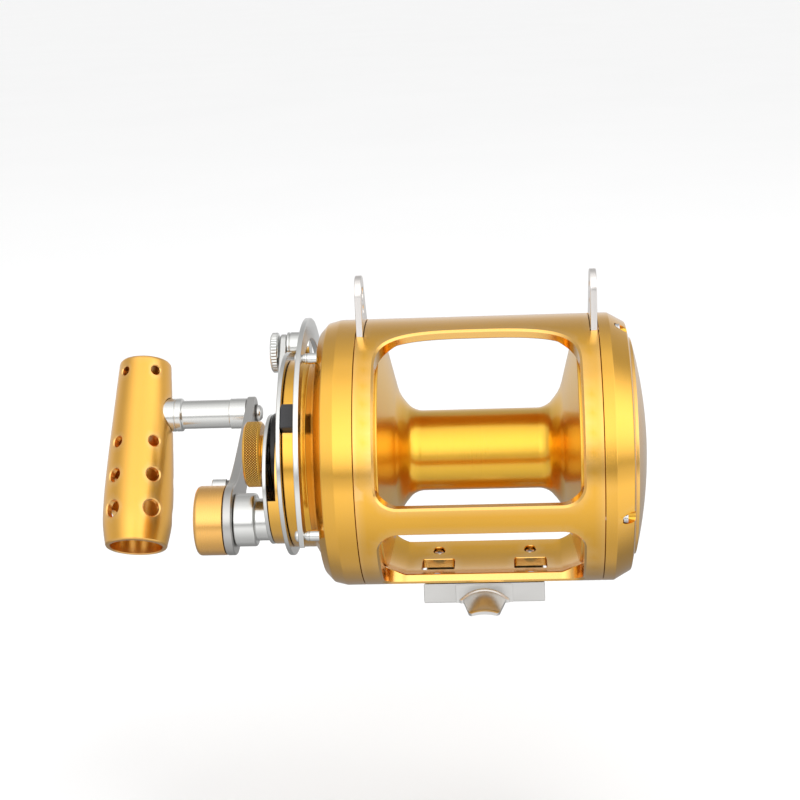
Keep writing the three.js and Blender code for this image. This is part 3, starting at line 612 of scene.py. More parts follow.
    def finish(self, name, node, look, body):
        mesh = bpy.data.meshes.new(name)
        mesh.from_pydata([row(p) for p in self.points], [], self.faces)
        mesh.shade_smooth()
        mesh.normals_split_custom_set(self.normals)
        bind(linked(name, mesh), node, look, body, ("turned", 0, 0))


# ---- Barrel frame ----
FRAME_HALF, WINDOW_HALF = 56.95, 47.6
BAR_INNER_R, RING_BORE_R, BORE_TURN = 60.4, 56.6, 38.0
SQUARE, SWEPT = (10, 2), (28, 3)
POCKET_X, FOOT_HOLE_Y = 23, 16


def window_loop(start, end, start_corner, end_corner):
    """A frame window in (x, turn): its corners are arcs of a reach and roundness."""
    right = []
    for angle, (reach, power), sign in ((start, start_corner, 1), (end, end_corner, -1)):
        flat = 1 - reach / WINDOW_HALF if power == 2 else 0
        corner = []
        for k in range(61):
            t = math.pi / 2 * k / 60
            inward = reach * (1 - math.cos(t) ** (2 / power))
            half = WINDOW_HALF * (flat + (1 - flat) * math.sin(t) ** (2 / power))
            corner.append((half, math.radians(angle) + sign * inward / PLATE_R))
        right += corner[::sign]
    left = [(-x, turn) for x, turn in right[::-1]]
    loop = np.array(right + left) * (1, PLATE_R)
    return evenly(loop, 1.3) / (1, PLATE_R)


def upright_loop(x, y, shape, radius):
    """An upright hole's edge on the underside of a cylinder: shape is its (dx, dy) outline."""
    return [(x + dx, TAU - math.acos(-(y + dy) / radius)) for dx, dy in shape]


def frame_bore(x):
    t = min(1, max(0, (abs(x) - BORE_TURN) / (WINDOW_HALF - BORE_TURN)))
    return BAR_INNER_R + (RING_BORE_R - BAR_INNER_R) * t


def make_frame():
    skin = Skin(
        lambda x, turn, r: (x, -r * math.cos(turn), r * math.sin(turn)),
        lambda turn: ((1, 0, 0), (0, math.sin(turn), math.cos(turn)), (0, -math.cos(turn), math.sin(turn))),
    )
    turns, outer = 180, lambda x: PLATE_R
    windows = [window_loop(-7.9, 76, SQUARE, SWEPT), window_loop(114, 247, SWEPT, SQUARE),
               window_loop(-67, -20.8, SQUARE, SQUARE) + (0, TAU)]
    loops = [skin.edge_rings(loop, loop, outer, frame_bore, 1.0, 0.5, PLATE_R) for loop in windows]
    slot = evenly(rounded(box(-7.9, 7.9, -6, 8), 1.0, step=30), 0.7)
    sink = circle(0, 0, 1, 28), 2.8, 1.8
    lug_seats = []
    for sx in (-1, 1):
        for y, shape, wide, narrow in ((0, slot, 1, 1), (-FOOT_HOLE_Y, *sink), (FOOT_HOLE_Y, *sink)):
            edges = [upright_loop(sx * POCKET_X, y, np.array(shape) * size, r)
                     for size, r in ((narrow, PLATE_R), (wide, BAR_INNER_R))]
            loops.append(skin.edge_rings(*edges, outer, frame_bore, 0.3, 0.35, PLATE_R))
        seat = box(*sorted((sx * 53.15, sx * 56.3)), *(math.acos(-y / PLATE_R) for y in (-19.3, 10.3)))
        loop = evenly(np.array(seat) * (1, PLATE_R), 0.6) / (1, PLATE_R)
        lug_seats.append(skin.pocket(loop, outer, 0.15, PLATE_R, lambda p: (*p[:2], 57.6), (0, 0, 1)))
    seam = -7 * TAU / turns
    edge, inner_edge = FRAME_HALF - 0.2, FRAME_HALF - 0.25
    lines = {*(k * 2.6 for k in range(-21, 22)), -BORE_TURN, BORE_TURN, -WINDOW_HALF, WINDOW_HALF}
    outside, inside_bore = [a for a, _ in loops], [b for _, b in loops]
    skin.sheet(sorted({-edge, edge, *lines}), turns, outside + lug_seats, outer, 1, PLATE_R, seam)
    skin.sheet(sorted({-inner_edge, inner_edge, *lines}), turns, inside_bore, frame_bore, -1, PLATE_R, seam)
    rim, lip = PLATE_R - 0.2, RING_BORE_R + 0.25
    for s in (-1, 1):
        skin.turn_profile(turns, (s * edge, PLATE_R, s, 1), (s * FRAME_HALF, rim, s, 1))
        skin.turn_profile(turns, (s * FRAME_HALF, rim, s, 0), (s * FRAME_HALF, lip, s, 0))
        skin.turn_profile(turns, (s * FRAME_HALF, lip, s, -1), (s * inner_edge, RING_BORE_R, s, -1))
    skin.finish("barrel_frame", "frame", gold, "reel_body")


make_frame()


# ---- Side plates ----
CUP_TURNS = 160
SCREW_SEATS = [polar(angle, 61) for angle in (81, -16, -106, 174)]
STRIKE_ANGLE, CLICKER_ANGLE = 36.5, 135
POST_R, POST_ANGLES = 61.5, (-21.8, 62.5, 148)
DRIVE_Z = -34


def bore(x0, x1, radius, y=0, z=0, segments=32):
    return turned([(x0, 0), (x0, radius), (x1, radius), (x1, 0)], segments, y, z)


def ray_box(angle, x, r, across):
    """A box on a ray from the spool axis, from one x to the other and from one radius to the other."""
    return on_ray(angle, plate(box(*r, -across / 2, across / 2), *x, edge=0))


far_profile = [
    (57.25, 57.6), (57.25, 65, 0.2), (62.5, 65, 0.8), (70.7, 60.3, 1.2), (72, 54.4, 0.4),
    (71, 53.4, 0.2), (71, 5.5), (60, 5.5), (60, 13), (68.5, 13), (68.5, 54.2), (64.5, 57.6)]
lathe("far_side_cup", "far_side_plate", far_profile, gold, CUP_TURNS, fillet=0.25, step=12,
      tools=[bore(65, 75.5, 2.9, *seat) for seat in SCREW_SEATS])

dome, dome_inside = (
    [(x + 6.8 * math.sin(t) ** 2, radius * math.cos(t)) for t in (start + 0.1 * k for k in range(count))]
    for x, radius, start, count in ((73.3, 52.6, 0.06, 16), (70.8, 50.1, 0.35, 12)))
dome_profile = [(71.3, 49.6), (71.3, 52.3), (71.6, 52.6), (73.1, 52.6), *dome, (80.1, 0), (77.6, 0),
                *dome_inside[::-1]]
add("far_side_dome", "far_side_cap", turned(dome_profile, CUP_TURNS), gold)

for i, (y, z) in enumerate(SCREW_SEATS, 1):
    head = plate(circle(y, z, 2.5, 40), 66.4, 67.4, [circle(y, z, 1.2, 6)], 0.15, 2)
    key_floor = plate(circle(y, z, 2.45, 40), 65.4, 66.401, edge=0)
    add(f"cover_screw_head_{i}", f"cover_screw_{i}", [head, key_floor, bore(49.4, 66.2, 1.3, y, z, 16)],
        steel, grain=("turned", y, z))

crank_profile = [
    (-57.25, 61.5), (-57.25, 65, 0.2), (-66, 65, 2.5), (-72, 63.5, 1.5), (-75.7, 59.4, 1.2), (-77.4, 52, 1),
    (-80.7, 46, 0.6), (-91.7, 46, 0.4), (-91.7, 5.5), (-80.6, 5.5), (-80.6, 12.3), (-75.3, 12.3),
    (-75.3, 16), (-88.7, 16), (-88.7, 43), (-77.5, 43), (-74.5, 49), (-72.6, 57.5), (-67, 61.5)]
lathe("crank_side_cup", "crank_side_plate", crank_profile, gold, CUP_TURNS, fillet=0.3, step=12,
      tools=[ray_box(STRIKE_ANGLE, (-92.7, -85.45), (38, 50), 12.5),
             ray_box(CLICKER_ANGLE, (-71.4, -61.8), (56, 70), 4.4),
             bore(-93, -84, 10.4, 0, DRIVE_Z, 48),
             *[bore(-80, -74.3, 2.95, *polar(a, POST_R), 40) for a in POST_ANGLES]])

# ---- Harness lugs ----
bow = [0.25 + (math.pi - 0.25) * k / 24 for k in range(25)]
top = [(-10 + 9 * math.cos(t), 80.7 + 9 * math.sin(t)) for t in bow]
shoulder = rounded([(10, 57.9), (10, 63.9, 2), top[0]], 2, closed=False)[1:-1]
lug_outline = [(-19, 57.9), (10, 57.9), *shoulder, *top]
lug_holes = [circle(-10, 80.7, 3.5), circle(-10, 73.1, 2.6, 36), circle(*polar(81, 61), 1.7, 16)]
for name, x in (("crank", -56.65), ("far", 53.45)):
    add(f"{name}_side_lug", f"harness_lug_{name}_side", plate(lug_outline, x, x + 3.2, lug_holes, 0.45),
        bright_silver, grain=("along", 0, 0.25, 1))


# ---- Foot ----
SIGNS = (-1, 1)


def arch(half, crown, brim, count):
    """The upper edge of an arched section, from one side to the other."""
    places = (2 * i / count - 1 for i in range(count + 1))
    return [(half * s, brim + (crown - brim) * (1 - abs(s) ** 2.1)) for s in places]


def tongue(side):
    """An arched tongue that reaches from the base block out under the rod seat's hood."""
    rings = []
    for k in range(25):
        along = -0.12 + 1.12 * k / 24
        t = min(1, max(0, along))
        end = max(0, (along - 0.9) / 0.1)
        flare = 1.6 * max(0, 1 - max(0, along) / 0.16) ** 2
        half = (10.65 + (7.2 - 10.65) * t) * (1 - 0.16 * end ** 2.2) + flare * 0.6
        crown = -65.4 + (-69 + 65.4) * t - 0.35 * end ** 2.5 + flare * 0.25
        brim = -69.8 + (-70.2 + 69.8) * t - 0.15 * end
        upper = arch(half, crown, brim, 16)
        under = [(x * 0.985, -71.7 + (z - brim) * 0.82) for x, z in upper][::-1]
        rings.append([(x, side * (21 + 18.5 * along), z) for x, z in upper + under])
    return loft(rings)


def root_collar(side):
    """The arched shoulder that a tongue grows out of."""
    rings = []
    for y, less in ((20, 0), (21.4, 0), (22, 0.3), (22.5, 1.1)):
        upper = arch(12.4 - less, -64.6 - less, -70.3, 24)
        under = [(x * 0.99, -71.8) for x, _ in upper][::-1]
        rings.append([(x, side * y, z) for x, z in upper + under])
    return loft(rings)


def upright(solid, x, y):
    """A turned solid, stood up along Z."""
    return moved(solid, lambda p, q, r: (x + q, y + r, p))


def make_foot():
    half, depth = 29.5, 21
    saddle = [(y, -math.sqrt(65.5 ** 2 - y * y), 0) for y in (depth - k * depth / 20 for k in range(41))]
    outline = rounded([(-depth, -72, 0.6), (depth, -72, 0.6), *saddle], 0)
    obj = new_object("rod_foot", [plate(outline, -half, half, edge=0.55)])
    for side in SIGNS:
        panel = box(*sorted((side * (depth - 2), side * (depth + 0.4))), -71.9, -62.6)
        carve(obj, [plate(panel, -14, 14, edge=0.4)], "UNION")
    carve(obj, [root_collar(-1), root_collar(1), tongue(-1), tongue(1)], "UNION")
    stud, screw = bore(-75, -60, 3.5, segments=40), bore(-69.8, -50, 1.8, segments=40)
    carve(obj, [upright(stud, sx * POCKET_X, 0) for sx in SIGNS]
          + [upright(screw, sx * POCKET_X, sy * FOOT_HOLE_Y) for sx in SIGNS for sy in SIGNS])
    finish_piece(obj, "reel_foot", silver_matt, grain=("along", 1, 0, 0), sharp=28)


make_foot()
screw_profile = rounded([(-69.2, 0, 0), (-69.2, 1.5, 0.4), (-60.9, 1.5), (-59.6, 2.45, 0.1),
                         (-59.2, 2.45, 0.2), (-58.9, 2.2, 0.1), (-58.9, 0, 0)], 0.1)
for i, (sx, sy) in enumerate([(-1, -1), (1, -1), (-1, 1), (1, 1)], 1):
    x, y = sx * POCKET_X, sy * FOOT_HOLE_Y
    key = loft([[(px, py, z) for px, py in circle(x, y, 1.1, 6)] for z in (-60.1, -57)])
    add(f"foot_screw_head_{i}", f"foot_screw_{i}", upright(turned(screw_profile, 40), x, y), steel,
        tools=[key], grain=("along", 0, 0, 1))

# ---- Quadrant and posts ----
band = []
for sweep in ((66.5, -25.2, 152), (56.4, 152, -25.2)):
    band += [(*p, 2.5 if k in (0, 89) else 0) for k, p in enumerate(arc(*sweep, 89))]
add("lever_quadrant", "drag_quadrant",
    plate(rounded(band, 0, step=15), -84, -81.5,
          [circle(*polar(a, POST_R), 1.6, 20) for a in POST_ANGLES], 0.45), silver)
pillar = rounded([(-81.2, 0, 0), (-81.2, 2.2), (-80.3, 2.2), (-80.2, 2.6), (-79.5, 2.6), (-79.4, 2.25),
                  (-79.1, 2.25), (-79, 2.6), (-74.6, 2.6), (-74.6, 0, 0)], 0.12)
domed_head = rounded([(-84.3, 0, 0), (-84.3, 2.8), (-85.2, 2.8, 0.4), (-86.1, 1.6, 0.9), (-86.1, 0, 0)], 0.15)
flat_head = rounded([(-84.25, 0, 0), (-84.25, 2.3), (-85, 2.2, 0.3), (-85, 0, 0)], 0.15)
for i, angle in enumerate(POST_ANGLES, 1):
    y, z = polar(angle, POST_R)
    head, stud = (domed_head, -84.3) if i == 1 else (flat_head, -85)
    solids = [turned(pillar, 40, y, z), bore(stud, -81, 1.5, y, z, 24), turned(head, 40, y, z)]
    add(f"quadrant_pillar_{i}", f"quadrant_post_{i}", solids, silver, grain=("turned", y, z))

# ---- Disc, bridge and lever ----
BRIDGE_AT = (0, -13)
shaft_hole = bore(-112, -80, 5.5, segments=40)
sleeve_hole = bore(-112, -80, 10.95, 0, DRIVE_Z, 64)
lathe("drum_disc", "cover_disc", [(-94.2, 0, 0), (-94.2, 50, 0.5), (-92, 50, 0.5), (-92, 0, 0)], silver, 160,
      tools=[shaft_hole, sleeve_hole])
slot_box = plate(box(-40, 40, -14.1, 40), -103, -98, edge=0)
lathe("bridge_body", "bridge_housing", [(-101.9, 0, 0), (-101.9, 32), (-94.5, 32), (-94.5, 0, 0)], gold, 128,
      BRIDGE_AT, fillet=0.3, tools=[slot_box, bore(-103, -98, 20.7, segments=96),
                                    bore(-99, -95.2, 12.6, segments=64), shaft_hole, sleeve_hole])
lathe("bridge_face", "bridge_plate", [(-104.1, 0, 0), (-104.1, 32, 0.45), (-102.2, 32, 0.45), (-102.2, 0, 0)],
      silver, 128, BRIDGE_AT, tools=[bore(-112, -100, 8, segments=48), sleeve_hole])

LEVER_ANGLE = 137
hub = arc(20, LEVER_ANGLE + 20, LEVER_ANGLE + 340, 90)[1:-1]
bow = [math.radians(-90 + 10 * k) for k in range(19)]
tip = [polar(LEVER_ANGLE, 64 + 6 * math.cos(t), 6 * math.sin(t)) for t in bow]
roots = [(*polar(LEVER_ANGLE, 20, aside), 6) for aside in (-6, 6)]
lever_outline = [*[(*p, 0) for p in hub], roots[0], *[(*p, 0) for p in tip], roots[1]]
a = math.radians(LEVER_ANGLE)
lever = add("lever_arm", "drag_lever",
            plate(rounded(lever_outline, 0), -101.6, -98.3, [circle(0, 0, 5.5)], 0.8),
            silver, "lever_group", grain=("along", 0, math.cos(a), -math.sin(a)))
recolour(lever, black_metal, lambda x, y, z: math.hypot(y, z) < 20.3)


def ribs(x, radius, a):
    """Ridges along X, cut into the rim of the thumb wheel."""
    groove = 1 - abs(math.sin(18 * a)) ** 0.7
    fade = min(1, max(0, min(x + 105.6, -102.5 - x) / 0.5))
    return -0.45 * groove * fade if radius > 2 else 0


wheel = rounded([(-106.1, 0, 0), (-106.1, 9.3, 0.5), (-105.4, 10.25, 0.3), (-102.7, 10.25, 0.3),
                 (-102.2, 9.2, 0.2), (-102, 8.6, 0.2), (-102, 0, 0)], 0.2)
profile = wheel[:1]
for a, b in zip(wheel, wheel[1:]):
    parts = 6 if abs(a[1] - b[1]) < 1e-3 and a[1] > 10 else 1
    profile += [(a[0] + (b[0] - a[0]) * k / parts, a[1]) for k in range(1, parts)] + [b]
add("lever_thumb_wheel", "lever_thumb_knob", turned(profile, 216, *polar(LEVER_ANGLE, 60), ribs),
    polished, "lever_group", grain=("along", 1, 0, 0))
lathe("lever_roller", "lever_barrel", [
    (-98, 0, 0), (-98, 7), (-97, 7), (-96.8, 6.5), (-96.5, 6.5), (-96.3, 7), (-88.4, 7), (-88.2, 6.5),
    (-87.8, 6.5), (-87.6, 7), (-86.4, 7), (-86.4, 0, 0)], polished, 72, polar(LEVER_ANGLE, 64), fillet=0.15,
    body="lever_group")

# ---- Preset knob and buttons ----
KNURL_LOW, KNURL_HIGH, KNURL_R, KNURL_COUNT, KNURL_DEPTH = -114.5, -108.2, 16.2, 76, 0.45


def knurl(x, r, a):
    """Crossed diamond ridges around the rim of the preset knob."""
    if r < KNURL_R - 0.02 or not KNURL_LOW < x < KNURL_HIGH:
        return 0
    along, around = (x - KNURL_LOW) * KNURL_COUNT / (TAU * KNURL_R), KNURL_COUNT * a / TAU
    ridge = min(abs((along + around) % 1 - 0.5), abs((along - around) % 1 - 0.5)) * 2
    fade = min(1, min(x - KNURL_LOW, KNURL_HIGH - x) / 0.25)
    return -KNURL_DEPTH * (1 - min(1, 1.5 * ridge)) * fade


rim = [(KNURL_LOW + (KNURL_HIGH - KNURL_LOW) * k / 44, KNURL_R) for k in range(45)]
outer_end = [(-115.6, 0), (-115.6, 15.2, 0.4), (-114.6, 16.2, 0.2), rim[0]]
inner_end = [rim[-1], (-108.1, 16.2, 0.2), (-107.1, 15.2, 0.4), (-107.1, 9.5, 0.3), (-104.4, 9.5, 0.2),
             (-104.4, 5.5)]
profile = [(-115.6, 0), *rounded(outer_end, 0, closed=False)[1:-1], *rim,
           *rounded(inner_end, 0, closed=False)[1:], (-112.8, 5.5), (-112.8, 0)]
dial = add("preset_dial", "preset_knob", turned(profile, 8 * KNURL_COUNT, relief=knurl), gold_knurled,
           "preset_group", sharp=50)
# Depth of each point in the knurl, which the knurled gold reads to paint shade into the grooves.
groove = dial.data.attributes.new("groove", "FLOAT", "POINT")
for point, value in zip(dial.data.vertices, groove.data):
    x, y, z = point.co / MM
    deep = (KNURL_R - math.hypot(y, z - AXIS_Z)) / KNURL_DEPTH
    value.value = min(1, max(0, deep)) if KNURL_LOW < x < KNURL_HIGH else 0

outline = rounded([(42, -5.9), (52, -5.9, 0.9), (52, 5.9, 0.9), (42, 5.9)], 0.4)
add("strike_key", "strike_button", on_ray(STRIKE_ANGLE, plate(outline, -91.7, -85.8, edge=0.7)), black,
    "strike_button_group")
outline = rounded([(65.4, -5.25), (69.8, -5.25, 1.2), (69.8, 5.25, 1.2), (65.4, 5.25)], 0.4)
add("clicker_key", "clicker_button", on_ray(CLICKER_ANGLE, plate(outline, -73.4, -65.4, edge=0.6)), black,
    "clicker_group",
    [ray_box(CLICKER_ANGLE, (x, x + 0.6), (69.2, 71), 12) for x in (-72, -70.6, -69.2, -67.8)])

# ---- Spool ----
face = [(46.5, 56, 0.7), (44.6, 49, 18), (39.2, 28, 18), (33.5, 21.2, 9), (29.5, 19.6, 9)]
far_face = [(50.5, 56, 0.7), (50.5, 53), (47.6, 51.5), (42.6, 27), (42.6, 16), (50.5, 16), (50.5, 11.3),
            (43.4, 11.3), (43.4, 8.5)]
near_face = [(-41.4, 8.5), (-41.4, 11.3), (-48, 11.3), (-48, 53), (-50.5, 53.2), (-50.5, 56, 0.7)]
lathe("line_spool", "spool", [(-x, r, f) for x, r, f in face] + face[::-1] + far_face + near_face,
      gold_turned, 160, step=10, body="spool_group")

# ---- Crank ----
LEAN = math.radians(69.7)
CRANK_LENGTH = 91.5
CRANK_AT = (0, DRIVE_Z)


def on_arm(distance, out=0.0):
    """The (y, z) of a point along the crank arm and off its middle line."""
    return (distance * math.sin(LEAN) - out * math.cos(LEAN),
            DRIVE_Z + distance * math.cos(LEAN) + out * math.sin(LEAN))


HANDLE_AT = on_arm(CRANK_LENGTH)


def arm_outline():
    """A round hub and a round end joined by concave sides."""
    hub_r, end_r = 17.5, 9
    leave, arrive = math.radians(62), math.radians(86)

    def round_part(middle, radius, start, sweep, steps):
        turns = (start + sweep * k / steps for k in range(steps + 1))
        return [(middle + radius * math.cos(t), radius * math.sin(t)) for t in turns]

    def side(sign):
        a = Vector((hub_r * math.cos(leave), sign * hub_r * math.sin(leave)))
        b = Vector((20, sign * 7.2))
        c = Vector((CRANK_LENGTH + end_r * math.cos(arrive), sign * end_r * math.sin(arrive)))
        return [a * (1 - t) ** 2 + b * 2 * t * (1 - t) + c * t * t for t in (k / 32 for k in range(1, 32))]

    points = [*round_part(0, hub_r, leave, TAU - 2 * leave, 48), *side(-1),
              *round_part(CRANK_LENGTH, end_r, -arrive, 2 * arrive, 32), *side(1)[::-1]]
    return [on_arm(*p) for p in points]


add("crank_blade", "crank_arm",
    plate(arm_outline(), -127.4, -123, [circle(*CRANK_AT, 6.3), circle(*HANDLE_AT, 4.3)], 0.7),
    grey, "crank_group", grain=("along", 0, math.sin(LEAN), math.cos(LEAN)))
lathe("crank_collar", "drive_sleeve", [
    (-122.7, 6.3), (-122.7, 13.3, 0.5), (-112.2, 13.3, 1.6), (-112.2, 10.5, 0.3), (-92.1, 10.5),
    (-92.1, 6.3)], silver, 96, CRANK_AT, step=12, body="crank_group")
lathe("crank_hub_cap", "crank_cap", [
    (-127.7, 6.3), (-127.7, 17.4, 0.3), (-142.1, 17.4, 2.2), (-142.1, 7.6, 0.5), (-131.4, 7.6),
    (-131.4, 6.3)], gold_matt, 112, CRANK_AT, step=12, body="crank_group")
lathe("shift_push_button", "shift_button", [(-143.7, 0, 0), (-143.7, 7, 0.5), (-135.4, 7), (-135.4, 0, 0)],
      silver, 72, CRANK_AT, body="shift_button_group", tools=[bore(-144.5, -143.3, 4.6, *CRANK_AT, 64)])
y, z = on_arm(27)
driver_slot = plate(box(y - 0.5, y + 0.5, z - 6, z + 6), -139.5, -137.7, edge=0)
screw = lathe("arm_lock_screw", "crank_lock_screw", [
    (-138.5, 0, 0), (-138.5, 4, 0.7), (-131.1, 4, 0.4), (-131.1, 3.4), (-127.7, 3.4), (-127.7, 0, 0)],
    polished, 48, (y, z), fillet=0.15, body="crank_group", tools=[driver_slot])
recolour(screw, dark_steel, lambda x, y, z: x > -131.2)
nut = lathe("axle_dome_nut", "handle_axle_nut", [
    (-122.7, 0, 0), (-122.7, 4.8), (-122.1, 4.8), (-122, 4.3), (-120.8, 4.3, 1.4), (-119.6, 2.8, 1.4),
    (-119.4, 0, 0)], steel, 56, HANDLE_AT, fillet=0.1, step=12, body="crank_group")
recolour(nut, dark_steel, lambda x, y, z: x < -122)
lathe("handle_neck", "handle_stem", [
    (-127.8, 4.4), (-127.8, 8.2, 0.3), (-136.6, 8.2, 0.15), (-136.9, 7.7, 0.1), (-162.6, 7.7, 0.8),
    (-163.4, 9, 0.5), (-166.4, 9, 0.15), (-166.6, 8.75, 0), (-166.9, 8.75, 0), (-167.1, 9, 0.15), (-173, 9),
    (-173, 4.4)], silver, 80, HANDLE_AT, fillet=0.15, step=15, body="handle_group")


# ---- Handle knob ----
KNOB_X, TILT = -185.3, math.radians(35)
UP = Vector((0, math.sin(TILT), math.cos(TILT)))
FRONT = Vector((0, -math.cos(TILT), math.sin(TILT)))
SIDE = Vector((1, 0, 0))
KNOB_HOLES = ((22.2, 2.6), (-19.1, 3.1), (-38, 3.8), (-56.5, 4.6))
COLUMNS = 5
KNOB_OUTSIDE = ((-74.1, 16.2), (-73.1, 16.4), (-62, 18.2), (-50, 18.5), (-32, 17.9), (0, 16), (28.4, 14.1),
                (33.4, 13.7))
CAVITY_R, SOCKET_R, SOCKET_X = 11.0, 9.4, -173.4


def smooth_line(stations):
    """A smooth curve through (along, radius) stations, as a function."""
    xs, ys = (np.array(v, float) for v in zip(*stations))
    slopes = np.gradient(ys, xs)

    def value(x):
        i = int(np.clip(np.searchsorted(xs, x) - 1, 0, len(xs) - 2))
        h = xs[i + 1] - xs[i]
        t = min(1, max(0, (x - xs[i]) / h))
        a, b = slopes[i] * h, slopes[i + 1] * h
        return ((2 * t ** 3 - 3 * t * t + 1) * ys[i] + (t ** 3 - 2 * t * t + t) * a
                + (3 * t * t - 2 * t ** 3) * ys[i + 1] + (t ** 3 - t * t) * b)
    return value


def make_knob():
    centre = Vector((KNOB_X, *HANDLE_AT))

    def out(turn):
        return FRONT * math.cos(turn) + SIDE * math.sin(turn)

    skin = Skin(lambda t, turn, r: tuple(centre + UP * t + out(turn) * r),
                lambda turn: (UP, SIDE * math.cos(turn) - FRONT * math.sin(turn), out(turn)))
    outside = smooth_line(KNOB_OUTSIDE)
    inside_line = smooth_line(((-74.1, 13.9), (-50, 15), (-30, 14.1), (-13, 13)))
    turns = 120

    def cavity(along):
        return CAVITY_R

    def hole(along, radius, middle, surface, count):
        ring = circle(0, 0, radius, count)
        return [(along + up, middle + math.asin(across / surface)) for up, across in ring]

    outer_loops, inner_loops, cavity_loops = [], [], []
    for column in range(COLUMNS):
        middle = TAU * (column + 0.5) / COLUMNS
        for along, radius in KNOB_HOLES:
            wall, loops = (cavity, cavity_loops) if along > 0 else (inside_line, inner_loops)
            count = max(20, round(radius * 9))
            rings = [hole(along, radius, middle, surface(along), count) for surface in (outside, wall)]
            a, b = skin.edge_rings(*rings, outside, wall, 0.55, 0.2, 15)
            outer_loops.append(a)
            loops.append(b)
    socket = hole(0, SOCKET_R, math.pi / 2, outside(0), 64)
    outer_loops.append(skin.pocket(socket, outside, 0.4, 16, lambda p: (SOCKET_X, *p[1:]), (1, 0, 0)))
    low, high = -72.7, 28.5
    skin.sheet([low + (high - low) * k / 56 for k in range(57)], turns, outer_loops, outside, 1, 16)
    skin.sheet([-73.7 + 60.3 * k / 34 for k in range(35)], turns, inner_loops, inside_line, -1, 14)
    skin.sheet([13.2 + 14.3 * k / 10 for k in range(11)], turns, cavity_loops, cavity, -1, CAVITY_R)
    r = outside(low)
    skin.turn_profile(turns, (low, r, 0, 1), (-73.1, r - 0.05, -0.4, 1), (-73.8, r - 0.5, -1, 0.5),
                      (-74.1, r - 1.0, -1, 0))
    skin.turn_profile(turns, (-74.1, r - 1.0, -1, 0), (-74.1, 14.4, -1, 0))
    skin.turn_profile(turns, (-74.1, 14.4, -1, -1), (-73.7, inside_line(-73.7), -1, -1))
    skin.turn_profile(turns, (-13.4, inside_line(-13.4), -1, -1), (-13, 12.4, -1, 0), (-13, 0, -1, 0))
    for t, sign in ((13, 1), (27.7, -1)):
        skin.turn_profile(turns, (t, 0, sign, 0), (t, 10.8, sign, 0))
        skin.turn_profile(turns, (t, 10.8, sign, -1), (t + sign * 0.2, CAVITY_R, sign, -1))
    r = outside(high)
    skin.turn_profile(turns, (high, r, 0.1, 1), (29.4, r - 0.25, 0.3, 1), (30.2, r - 0.9, 0.8, 0.8),
                      (30.6, r - 1.8, 1, 0.3), (30.7, r - 3.4, 1, 0.05), (30.7, 0, 1, 0))
    skin.finish("t_bar_grip", "handle_knob", gold_soft, "handle_group")


make_knob()

# ---- Inner CAD pieces that still show ----
INNER_LOOKS = {slot: material for material, slot in (carbon, silver, gold, steel, grey, black)}
slots = {part["node"]: part["material_slot"] for part in frame["record"]["subparts"]}
for name, node in frame["nodes"].items():
    if node.hide_render:
        continue
    node.data.materials.clear()
    node.data.materials.append(INNER_LOOKS[slots[name]])
    low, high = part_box(name)
    on_own_axis = low.y * high.y < 0 and name != "pawl_1"
    y, z = ((low + high) / 2 / MM)[1:] if on_own_axis else (0, AXIS_Z)
    set_grain(node.data, ("turned", y, z - AXIS_Z))


# ---- Camera, floor and light ----
def make_camera():
    data = bpy.data.cameras.new("camera")
    data.sensor_width, data.lens, data.clip_end = 36, 76.48, 100
    camera = linked("camera", data)
    heading, pitch, roll = (math.radians(a) for a in (3.98, -14.87, -2.52))
    turn = Euler((0, 0, heading)).to_matrix() @ Euler((math.pi / 2 + pitch, 0, 0)).to_matrix()
    camera.matrix_world = (turn @ Euler((0, 0, roll)).to_matrix()).to_4x4()
    camera.location = (0.0170, -0.7984, 0.3103)
    bpy.context.scene.camera = camera


def make_floor():
    """A pale table top that stays clear of the turning crank, and ends in front of the object."""
    size, front, height = 14.0, -1.35, -0.135
    mesh = bpy.data.meshes.new("floor")
    corners = [(-size, front), (size, front), (size, 2 * size), (-size, 2 * size)]
    mesh.from_pydata([(x, y, height) for x, y in corners], [], [(0, 1, 2, 3)])
    n = new_material("pale table")
    place = n.new("ShaderNodeTexCoord").outputs["Object"]
    tone = n.mix(n.noise(place, 3.0), (0.93, 0.93, 0.93), (0.96, 0.96, 0.96))
    n.to_shader(Base_Color=tone, Roughness=0.8)
    mesh.materials.append(n.data)
    floor = linked("floor", mesh)
    floor.visible_glossy = False


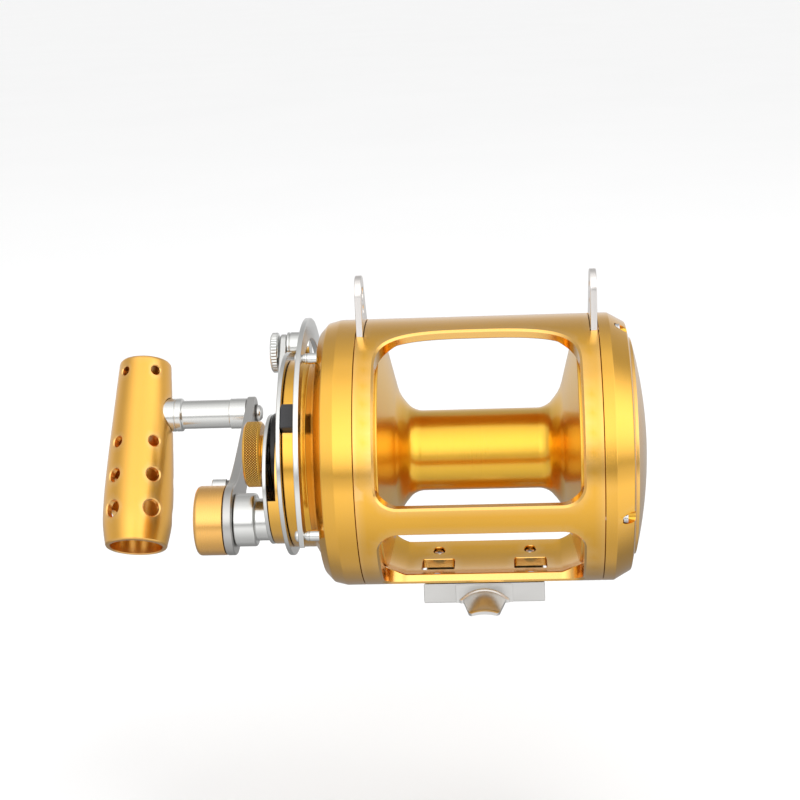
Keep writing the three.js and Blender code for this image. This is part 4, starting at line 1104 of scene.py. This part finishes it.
def make_world():
    """Soft studio light: a bright front with its largest glow a little above eye level, and a dimmer back."""
    world = bpy.data.worlds.new("studio")
    bpy.context.scene.world = world
    n = Nodes(world)
    direction = n.new("ShaderNodeTexCoord").outputs["Generated"]
    parts = n.new("ShaderNodeSeparateXYZ", {0: direction}).outputs
    up = n.new("ShaderNodeMath", {0: parts["Z"], 1: 0.5, 2: 0.5}, operation="MULTIPLY_ADD").outputs[0]

    def sky(*tones):
        """Greys by elevation in degrees."""
        return n.ramp(up, *((0.5 + 0.5 * math.sin(math.radians(a)), tone) for a, tone in tones))

    def between(axis, low, high, kind="LINEAR"):
        inputs = {"Value": parts[axis], "From Min": low, "From Max": high}
        return n.new("ShaderNodeMapRange", inputs, interpolation_type=kind).outputs["Result"]

    front = sky((-75, 0.3), (-50, 0.41), (-34, 0.51), (-18, 0.6), (-11, 0.43), (-6, 0.42), (-4, 0.19),
                (-2, 0.19), (0, 0.45), (7, 0.73), (15, 0.89), (23, 0.95), (40, 0.85), (56, 0.73), (72, 0.6),
                (88, 0.48))
    right = sky((-75, 0.3), (-50, 0.41), (-34, 0.49), (-18, 0.52), (-11, 0.36), (-5, 0.2), (3, 0.18),
                (10, 0.24), (17, 0.5), (25, 0.75), (40, 0.8), (56, 0.73), (72, 0.6), (88, 0.48))
    side = n.math("SUBTRACT", between("X", 0.0, 0.045), between("X", 0.15, 0.35))
    front = n.mix(between("X", -0.3, -0.85), n.mix(side, front, right), (0.33, 0.33, 0.33))
    back = sky((-85, 0.27), (-70, 0.19), (-54, 0.155), (-38, 0.145), (-20, 0.2), (-8, 0.38), (8, 0.38),
               (24, 0.28), (40, 0.24), (56, 0.29), (72, 0.36), (88, 0.47))
    colour = n.mix(between("Y", -0.25, 0.35, "SMOOTHSTEP"), front, back)
    colour = n.mix(n.new("ShaderNodeLightPath").outputs["Is Camera Ray"], colour, (0.5, 0.5, 0.5))
    background = n.tree.nodes["Background"].inputs
    n.tree.links.new(colour, background["Color"])
    background["Strength"].default_value = 2.0


def make_light():
    """One soft box above the object."""
    data = bpy.data.lights.new("top soft box", "AREA")
    data.shape, data.size, data.size_y, data.energy = "RECTANGLE", 1.6, 1.2, 12
    light = linked("top soft box", data)
    light.location = (0.1, 0.1, 2.2)
    light.rotation_euler = (Vector((0, 0, 0.1)) - light.location).to_track_quat("-Z", "Y").to_euler()
    light.visible_glossy = False


make_camera()
make_floor()
make_world()
make_light()
bpy.context.scene.view_settings.view_transform = "Standard"
bpy.context.scene.render.film_transparent = False
